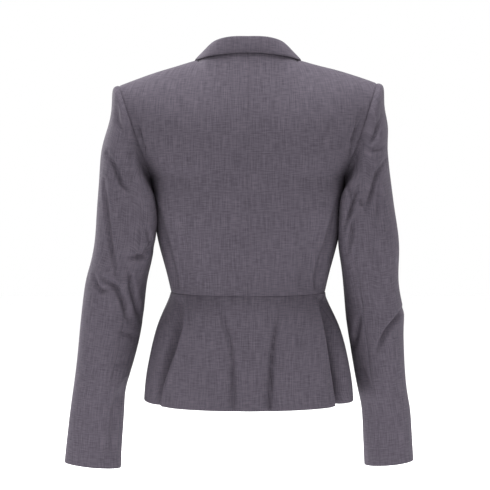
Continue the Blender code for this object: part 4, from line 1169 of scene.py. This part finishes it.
def level_widths(grid, along):
    """Cloth width at each point, measured square to its length although the rows slant."""
    steps = np.linalg.norm(np.diff(grid, axis=1), axis=2)
    level = np.sqrt(np.maximum(steps**2 - np.diff(along, axis=1) ** 2, 0.0))
    return np.concatenate([np.zeros((len(grid), 1)), np.cumsum(level, axis=1)], axis=1)


def turned_in(grid, normals, rims):
    """Normals that follow the body's at the sleeve's top edge, so that both turnings lie side by side."""
    rim_points = np.concatenate([points for points, rim_normals in rims])
    rim_normals = np.concatenate([rim_normals for points, rim_normals in rims])
    nearest = np.linalg.norm(grid[0][:, None] - rim_points, axis=2).argmin(axis=1)
    share = 1.0 - smooth(edge_distance(grid, "first_row") / SEAM_LIP_WIDTH)[..., None]
    return unit(normals * (1.0 - share) + rim_normals[nearest] * share)


# %% Sleeves
# First and last angle round the arm: 0 degrees on the outer side, 90 at the back.
SLEEVE_ANGLES = {"upper": (-125.0, 118.0), "under": (118.0, 235.0)}
SLEEVE_ROUND = 0.92
SLEEVE_SWELL = 0.7
GRAIN_ANGLE = 90.0

for side, table, creases, front_creases in (
    ("left", SLEEVE_LEFT, LEFT_CREASES, LEFT_FRONT_CREASES),
    ("right", SLEEVE_RIGHT, RIGHT_CREASES, RIGHT_FRONT_CREASES),
):
    for piece, (first, last) in SLEEVE_ANGLES.items():
        arc = (last - first) * SLEEVE_ROUND
        angles = first + line_places(arc, step=SLEEVE_STEP) / arc * (last - first)
        grid, middles = sleeve_panel(table, angles)
        if side == "right":
            grid = mirrored(grid)
            middles = mirrored(middles)
        normals = outward(grid, middles[:, None])
        edges = edges_of(grid, "seam", "seam", "soft seam", "hem")
        push = held(normals, edge_distance(grid, "first_row"))
        grid = worn(grid, push, creases, front_creases, SLEEVE_SWELL)
        normals = turned_in(grid, normals, armhole_rims[side])
        name = "sleeve_" + piece + "_" + side
        middle = np.abs(angles - GRAIN_ANGLE).argmin()
        up = edge_distance(grid, "last_row")
        lay_sheet(name, grid, normals, edges, level_widths(grid, up), up, middle=middle)

# %% [markdown]
# One flat button closes the front just below the break. It is turned from a disc: a primitive cylinder with
# its top face inset and sunk for the dish, a bevelled rim, and four holes that a Boolean cuts. The operators
# act on what is selected, and the loaded solids are selected, so everything is deselected first.

# %% Button
BUTTON_RADIUS = 10.0
BUTTON_THICK = 3.6
BUTTON_SIDES = 56
BUTTON_RIM = 2.2
BUTTON_DISH = 0.9
DISH_SLOPE = 0.8
FACES_UP = 0.9
RIM_BEVEL = 0.55
RIM_SEGMENTS = 3
RIM_ANGLE = 40.0


def add_disc(name, radius, thick, sides):
    """A cylinder standing on the origin, in millimetres, alone in the selection."""
    bpy.ops.object.select_all(action="DESELECT")
    place = (0.0, 0.0, thick / 2.0 * MM)
    bpy.ops.mesh.primitive_cylinder_add(vertices=sides, radius=radius * MM, depth=thick * MM, location=place)
    item = bpy.context.object
    item.name = name
    bpy.ops.object.transform_apply(location=True, rotation=True, scale=True)
    return item


button = add_disc("button_face", BUTTON_RADIUS, BUTTON_THICK, BUTTON_SIDES)
bpy.ops.object.mode_set(mode="EDIT")
bpy.ops.mesh.select_all(action="DESELECT")
shell = bmesh.from_edit_mesh(button.data)
shell.faces.ensure_lookup_table()
for face in shell.faces:
    face.select = face.normal.z > FACES_UP
bmesh.update_edit_mesh(button.data)
bpy.ops.mesh.inset(thickness=BUTTON_RIM * MM)
bpy.ops.mesh.inset(thickness=DISH_SLOPE * MM)
bpy.ops.transform.translate(value=(0.0, 0.0, -BUTTON_DISH * MM))
bpy.ops.object.mode_set(mode="OBJECT")
rim = button.modifiers.new("rim", "BEVEL")
rim.width = RIM_BEVEL * MM
rim.segments = RIM_SEGMENTS
rim.limit_method = "ANGLE"
rim.angle_limit = math.radians(RIM_ANGLE)
bpy.ops.object.modifier_apply(modifier=rim.name)
print("faces of the turned disc:", len(button.data.polygons))

# %% Holes of the button
HOLES = 4
HOLE_RADIUS = 0.9
HOLE_SIDES = 16
HOLE_FROM_MIDDLE = 2.1
BUTTON_SHARP_ANGLE = 35.0

for number in range(HOLES):
    turn = math.radians((number + 0.5) * FULL_TURN / HOLES)
    drill = add_disc("drill", HOLE_RADIUS, 4.0 * BUTTON_THICK, HOLE_SIDES)
    middle_x = HOLE_FROM_MIDDLE * math.cos(turn) * MM
    middle_y = HOLE_FROM_MIDDLE * math.sin(turn) * MM
    drill.data.transform(Matrix.Translation((middle_x, middle_y, -BUTTON_THICK * MM)))
    bpy.context.view_layer.objects.active = button
    cut = button.modifiers.new("hole", "BOOLEAN")
    cut.object = drill
    cut.solver = "EXACT"
    bpy.ops.object.modifier_apply(modifier=cut.name)
    bpy.data.objects.remove(drill)
button.data.shade_smooth()
button.data.set_sharp_from_angle(angle=math.radians(BUTTON_SHARP_ANGLE))
print("button faces:", len(button.data.polygons))

# %% [markdown]
# The button lies on the slope of the right front, so its mesh is turned to that slope and moved there. Two
# short bundles of thread cross the holes, and the worked buttonhole shows at one side. Threads are cords, so
# they are tubes along short lines.

# %% Button in place
BUTTON_HEIGHT = -318.0
BUTTON_GAP = 0.3
front_line = [front_part(ring, 0.0, [1.0])[0] for ring in BODY_RINGS]
near = spline(RING_LEVELS, front_line, BUTTON_HEIGHT + np.array([-1.0, 0.0, 1.0]))
button_up = unit(near[2] - near[0])
button_out = np.array([0.0, -button_up[2], button_up[1]])
button_base = near[1] - np.array([0.0, LAP_LIFT, 0.0]) + button_out * BUTTON_GAP
button_right = np.cross(button_up, button_out)


def on_front(across, up, out):
    """A place on the front beside the button, in millimetres."""
    return button_base + button_right * across + button_up * up + button_out * out


turned = Matrix((button_right, button_up, button_out)).transposed().to_4x4()
button.data.transform(Matrix.Translation(Vector(button_base) * MM) @ turned)
print("button at, mm:", [round(value, 1) for value in button_base])

# %% Thread and buttonhole
THREAD_RADIUS = 0.42
THREAD_RISE = 0.45
THREAD_SINK = 1.1
THREAD_CURVE = 4
THREAD_SPANS = np.linspace(-1.0, 1.0, 9)
BUTTONHOLE_RADIUS = 0.55
BUTTONHOLE_HALF = 12.5
BUTTONHOLE_WIDE = 1.1
BUTTONHOLE_ACROSS = 3.0
BUTTONHOLE_SQUARE = 0.35
BUTTONHOLE_TURNS = np.linspace(0.0, 2.0 * math.pi, 73)[:-1]


def add_tube(name, path, radius, sides=8):
    """A closed tube along a path of points in millimetres."""
    path = np.asarray(path, float)
    ahead = unit(np.gradient(path, axis=0))
    up = np.tile(button_out, (len(path), 1))
    beside = unit(np.cross(ahead, up))
    up = np.cross(beside, ahead)
    turn = (np.arange(sides) * 2.0 * math.pi / sides)[None, :, None]
    rings = path[:, None] + radius * (np.cos(turn) * beside[:, None] + np.sin(turn) * up[:, None])
    number = np.arange(len(path) * sides).reshape(len(path), sides)
    after = np.roll(number, -1, axis=1)
    walls = np.stack([number[:-1], after[:-1], after[1:], number[1:]], axis=-1).reshape(-1, 4)
    faces = walls.tolist() + [number[0, ::-1].tolist(), number[-1].tolist()]
    mesh = bpy.data.meshes.new(name)
    mesh.from_pydata((rings.reshape(-1, 3) * MM).tolist(), [], faces)
    mesh.shade_smooth()
    item = bpy.data.objects.new(name, mesh)
    bpy.context.scene.collection.objects.link(item)
    return item


thread_level = BUTTON_THICK - BUTTON_DISH + THREAD_RISE
hole_side = HOLE_FROM_MIDDLE * math.sqrt(0.5)
threads = []
for number, up in enumerate((-hole_side, hole_side)):
    line = []
    for span in THREAD_SPANS:
        line.append(on_front(hole_side * span, up, thread_level - THREAD_SINK * abs(span) ** THREAD_CURVE))
    threads.append(add_tube("button_thread_" + str(number + 1), line, THREAD_RADIUS))

loop = []
for turn in BUTTONHOLE_TURNS:
    along = math.copysign(abs(math.cos(turn)) ** BUTTONHOLE_SQUARE, math.cos(turn))
    across = BUTTONHOLE_ACROSS + BUTTONHOLE_HALF * along
    loop.append(on_front(across, BUTTONHOLE_WIDE * math.sin(turn), 0.0))
buttonhole = add_tube("buttonhole_thread", loop, BUTTONHOLE_RADIUS)
print("threads:", len(threads))

# %% [markdown]
# The cloth is worsted suiting woven from light and dark mauve-grey yarns that change a little in thickness,
# which gives fine broken streaks down the warp and across the weft. Its threads are about 0.4 mm apart, too
# fine to show at this distance, so the streaks are drawn some millimetres apart. They are two stretched
# noises on the cloth's own map, so they follow the cut of each piece. The finish is matt, with hardly any
# gloss, so the edges stay as dark as the rest.

# %% Nodes and colours


def linear_colour(code):
    """Linear colour from an sRGB hex value."""
    parts = [int(code[place : place + 2], 16) / 255.0 for place in (1, 3, 5)]
    return [part / 12.92 if part <= 0.04045 else ((part + 0.055) / 1.055) ** 2.4 for part in parts] + [1.0]


def add_node(tree, kind, settings, links=()):
    """One node with its settings by name or socket, and the sockets that feed it."""
    node = tree.nodes.new(kind)
    for key, value in settings.items():
        if isinstance(key, str) and hasattr(node, key):
            setattr(node, key, value)
        else:
            node.inputs[key].default_value = value
    for socket, source in links:
        tree.links.new(source, node.inputs[socket])
    return node


def add_mix(tree, dark, light, share):
    """Two sRGB colours mixed by the value of another node."""
    colours = {"data_type": "RGBA", 6: linear_colour(dark), 7: linear_colour(light)}
    return add_node(tree, "ShaderNodeMix", colours, [(0, share)]).outputs[2]


def new_material(name):
    """An empty material with its output and Principled shader."""
    material = bpy.data.materials.new(name)
    material.use_nodes = True
    tree = material.node_tree
    return material, tree, tree.nodes["Principled BSDF"]


# %% Worsted suiting
WARP_WIDE = 1.7
WARP_LONG = 30.0
WEFT_WIDE = 1.6
WEFT_LONG = 15.0
WEFT_SHIFT = (7.3, 3.1, 5.0)
CLOUD_SIZE = 60.0
CLOUD_SHARE = 0.15
STREAK_NOISE = {"Scale": 1.0, "Detail": 1.5, "Roughness": 0.6}
CLOUD_NOISE = {"Scale": 1.0, "Detail": 1.0}
TONE_RANGE = {"From Min": 0.68, "From Max": 1.47}
RELIEF = {"Strength": 0.25, "Distance": 0.25 * MM}
YARN_DARK = "#3b373f"
YARN_LIGHT = "#57515a"
CLOTH_ROUGHNESS = 0.82
CLOTH_GLOSS = 0.06

# Worsted wool suiting with dark and light yarns, matt
suiting, tree, shader = new_material("worsted_suiting")
grain = add_node(tree, "ShaderNodeUVMap", {"uv_map": "cloth"})
noises = []
for wide, long, shift, settings in (
    (WARP_WIDE, WARP_LONG, (0.0, 0.0, 0.0), STREAK_NOISE),
    (WEFT_LONG, WEFT_WIDE, WEFT_SHIFT, STREAK_NOISE),
    (CLOUD_SIZE, CLOUD_SIZE, (0.0, 0.0, 0.0), CLOUD_NOISE),
):
    stretch = {"Scale": (1.0 / (wide * MM), 1.0 / (long * MM), 1.0), "Location": shift}
    stretched = add_node(tree, "ShaderNodeMapping", stretch, [("Vector", grain.outputs[0])])
    streak = add_node(tree, "ShaderNodeTexNoise", settings, [("Vector", stretched.outputs[0])])
    noises.append(streak.outputs[0])
warp, weft, cloud = noises
both = add_node(tree, "ShaderNodeMath", {"operation": "ADD"}, [(0, warp), (1, weft)]).outputs[0]
clouded = {"operation": "MULTIPLY_ADD", 1: CLOUD_SHARE}
tone = add_node(tree, "ShaderNodeMath", clouded, [(0, cloud), (2, both)])
yarn = add_node(tree, "ShaderNodeMapRange", TONE_RANGE, [("Value", tone.outputs[0])])
colour = add_mix(tree, YARN_DARK, YARN_LIGHT, yarn.outputs[0])
relief = add_node(tree, "ShaderNodeBump", RELIEF, [("Height", both)])
tree.links.new(colour, shader.inputs["Base Color"])
tree.links.new(relief.outputs[0], shader.inputs["Normal"])
shader.inputs["Roughness"].default_value = CLOTH_ROUGHNESS
shader.inputs["Specular IOR Level"].default_value = CLOTH_GLOSS
print("suiting nodes:", len(tree.nodes))

# %% [markdown]
# The button is dull moulded polyester, marbled a little like horn, and darker than the cloth. The threads are
# spun polyester in the same grey, with a fine twist. Both are two colours mixed by one texture.

# %% Button and thread finishes
MARBLE = {"Scale": 1.0 / (4.0 * MM), "Detail": 3.0, "Distortion": 1.2}
MARBLE_COLOURS = ("#29262b", "#4a454c")
POLISH = {"Roughness": 0.38, "IOR": 1.55}
TWIST = {"Scale": 1.0 / (2.4 * MM), "Distortion": 0.6, "bands_direction": "DIAGONAL"}
TWIST_COLOURS = ("#39343c", "#5f5963")
DULL = {"Roughness": 0.7}


def two_colours(name, kind, settings, colours, finish):
    """A material of two colours mixed by one texture on the piece's own coordinates."""
    material, tree, shader = new_material(name)
    place = add_node(tree, "ShaderNodeTexCoord", {})
    pattern = add_node(tree, kind, settings, [("Vector", place.outputs["Object"])])
    tree.links.new(add_mix(tree, *colours, pattern.outputs[0]), shader.inputs["Base Color"])
    for socket, value in finish.items():
        shader.inputs[socket].default_value = value
    return material


# Moulded polyester, marbled, with a low polish
horn = two_colours("moulded_polyester", "ShaderNodeTexNoise", MARBLE, MARBLE_COLOURS, POLISH)
# Spun polyester thread, dull, with a diagonal twist
spun = two_colours("spun_polyester_thread", "ShaderNodeTexWave", TWIST, TWIST_COLOURS, DULL)
print("materials:", suiting.name, horn.name, spun.name)

# %% [markdown]
# The whole jacket is one body, so each piece rides on it and stands for the solid of the same name.

# %% Riding on the body
for name, item in sheets.items():
    item.data.materials.append(suiting)
    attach(item, "root")
    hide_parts(name)
button.data.materials.clear()
button.data.materials.append(horn)
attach(button, "root")
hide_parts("button")
for item in threads + [buttonhole]:
    item.data.materials.append(spun)
    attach(item, "root")
print("pieces of cloth:", len(sheets))

# %% [markdown]
# The picture is taken against plain white with soft light. A white world lights the jacket from all round.
# One soft lamp straight above brightens what faces up, and two on the far side of the jacket, the left one
# stronger, brighten the outer sides of the sleeves. The white floor lies well below the hem.

# %% Floor and light
FLOOR_LEVEL = -0.95
FLOOR_SIZE = 30.0
PAPER_ROUGHNESS = 0.9
WHITE = linear_colour("#ffffff")
LAMP_AIM = (0.0, 0.0, -0.30)
LAMP_SIZE = 1.4
# Name, place in metres and power in watts.
LAMPS = [
    ("overhead_softbox", (0.0, 0.05, 2.7), 172.0),
    ("left_softbox", (2.16, -1.81, 0.73), 130.0),
    ("right_softbox", (-2.16, -1.81, 0.73), 35.0),
]

bpy.ops.object.select_all(action="DESELECT")
bpy.ops.mesh.primitive_plane_add(size=FLOOR_SIZE, location=(0.0, 0.0, FLOOR_LEVEL))
floor = bpy.context.object
floor.name = "studio_floor"
# White backdrop paper, matt
paper, tree, shader = new_material("matt_paper")
shader.inputs["Base Color"].default_value = WHITE
shader.inputs["Roughness"].default_value = PAPER_ROUGHNESS
floor.data.materials.append(paper)

world = bpy.data.worlds.new("white_studio")
world.use_nodes = True
world.node_tree.nodes["Background"].inputs["Color"].default_value = WHITE
world.node_tree.nodes["Background"].inputs["Strength"].default_value = 1.0
bpy.context.scene.world = world
bpy.context.scene.view_settings.view_transform = "Standard"

for name, place, power in LAMPS:
    data = bpy.data.lights.new(name, "AREA")
    data.size = LAMP_SIZE
    data.energy = power
    lamp = bpy.data.objects.new(name, data)
    lamp.location = place
    lamp.rotation_euler = (Vector(LAMP_AIM) - Vector(place)).to_track_quat("-Z", "Y").to_euler()
    bpy.context.scene.collection.objects.link(lamp)
print("lamps:", len(LAMPS))

# %% [markdown]
# The camera stands level with the middle of the jacket and looks straight at the back. From two metres away,
# through a long lens, its near and far parts show at almost the same scale.

# %% Camera
CAMERA_PLACE = (0.0048, 2.1, -0.290)
CAMERA_LENS = 96.4
SENSOR_WIDTH = 36.0
camera_data = bpy.data.cameras.new("camera")
camera_data.lens = CAMERA_LENS
camera_data.sensor_width = SENSOR_WIDTH
camera =bpy.data.objects.new("camera", camera_data)
camera.location = CAMERA_PLACE
camera.rotation_euler = (math.radians(90.0), 0.0, math.radians(180.0))
bpy.context.scene.collection.objects.link(camera)
bpy.context.scene.camera = camera
print("camera at", CAMERA_PLACE, "lens", CAMERA_LENS)

# %% Final update
bpy.context.view_layer.update()
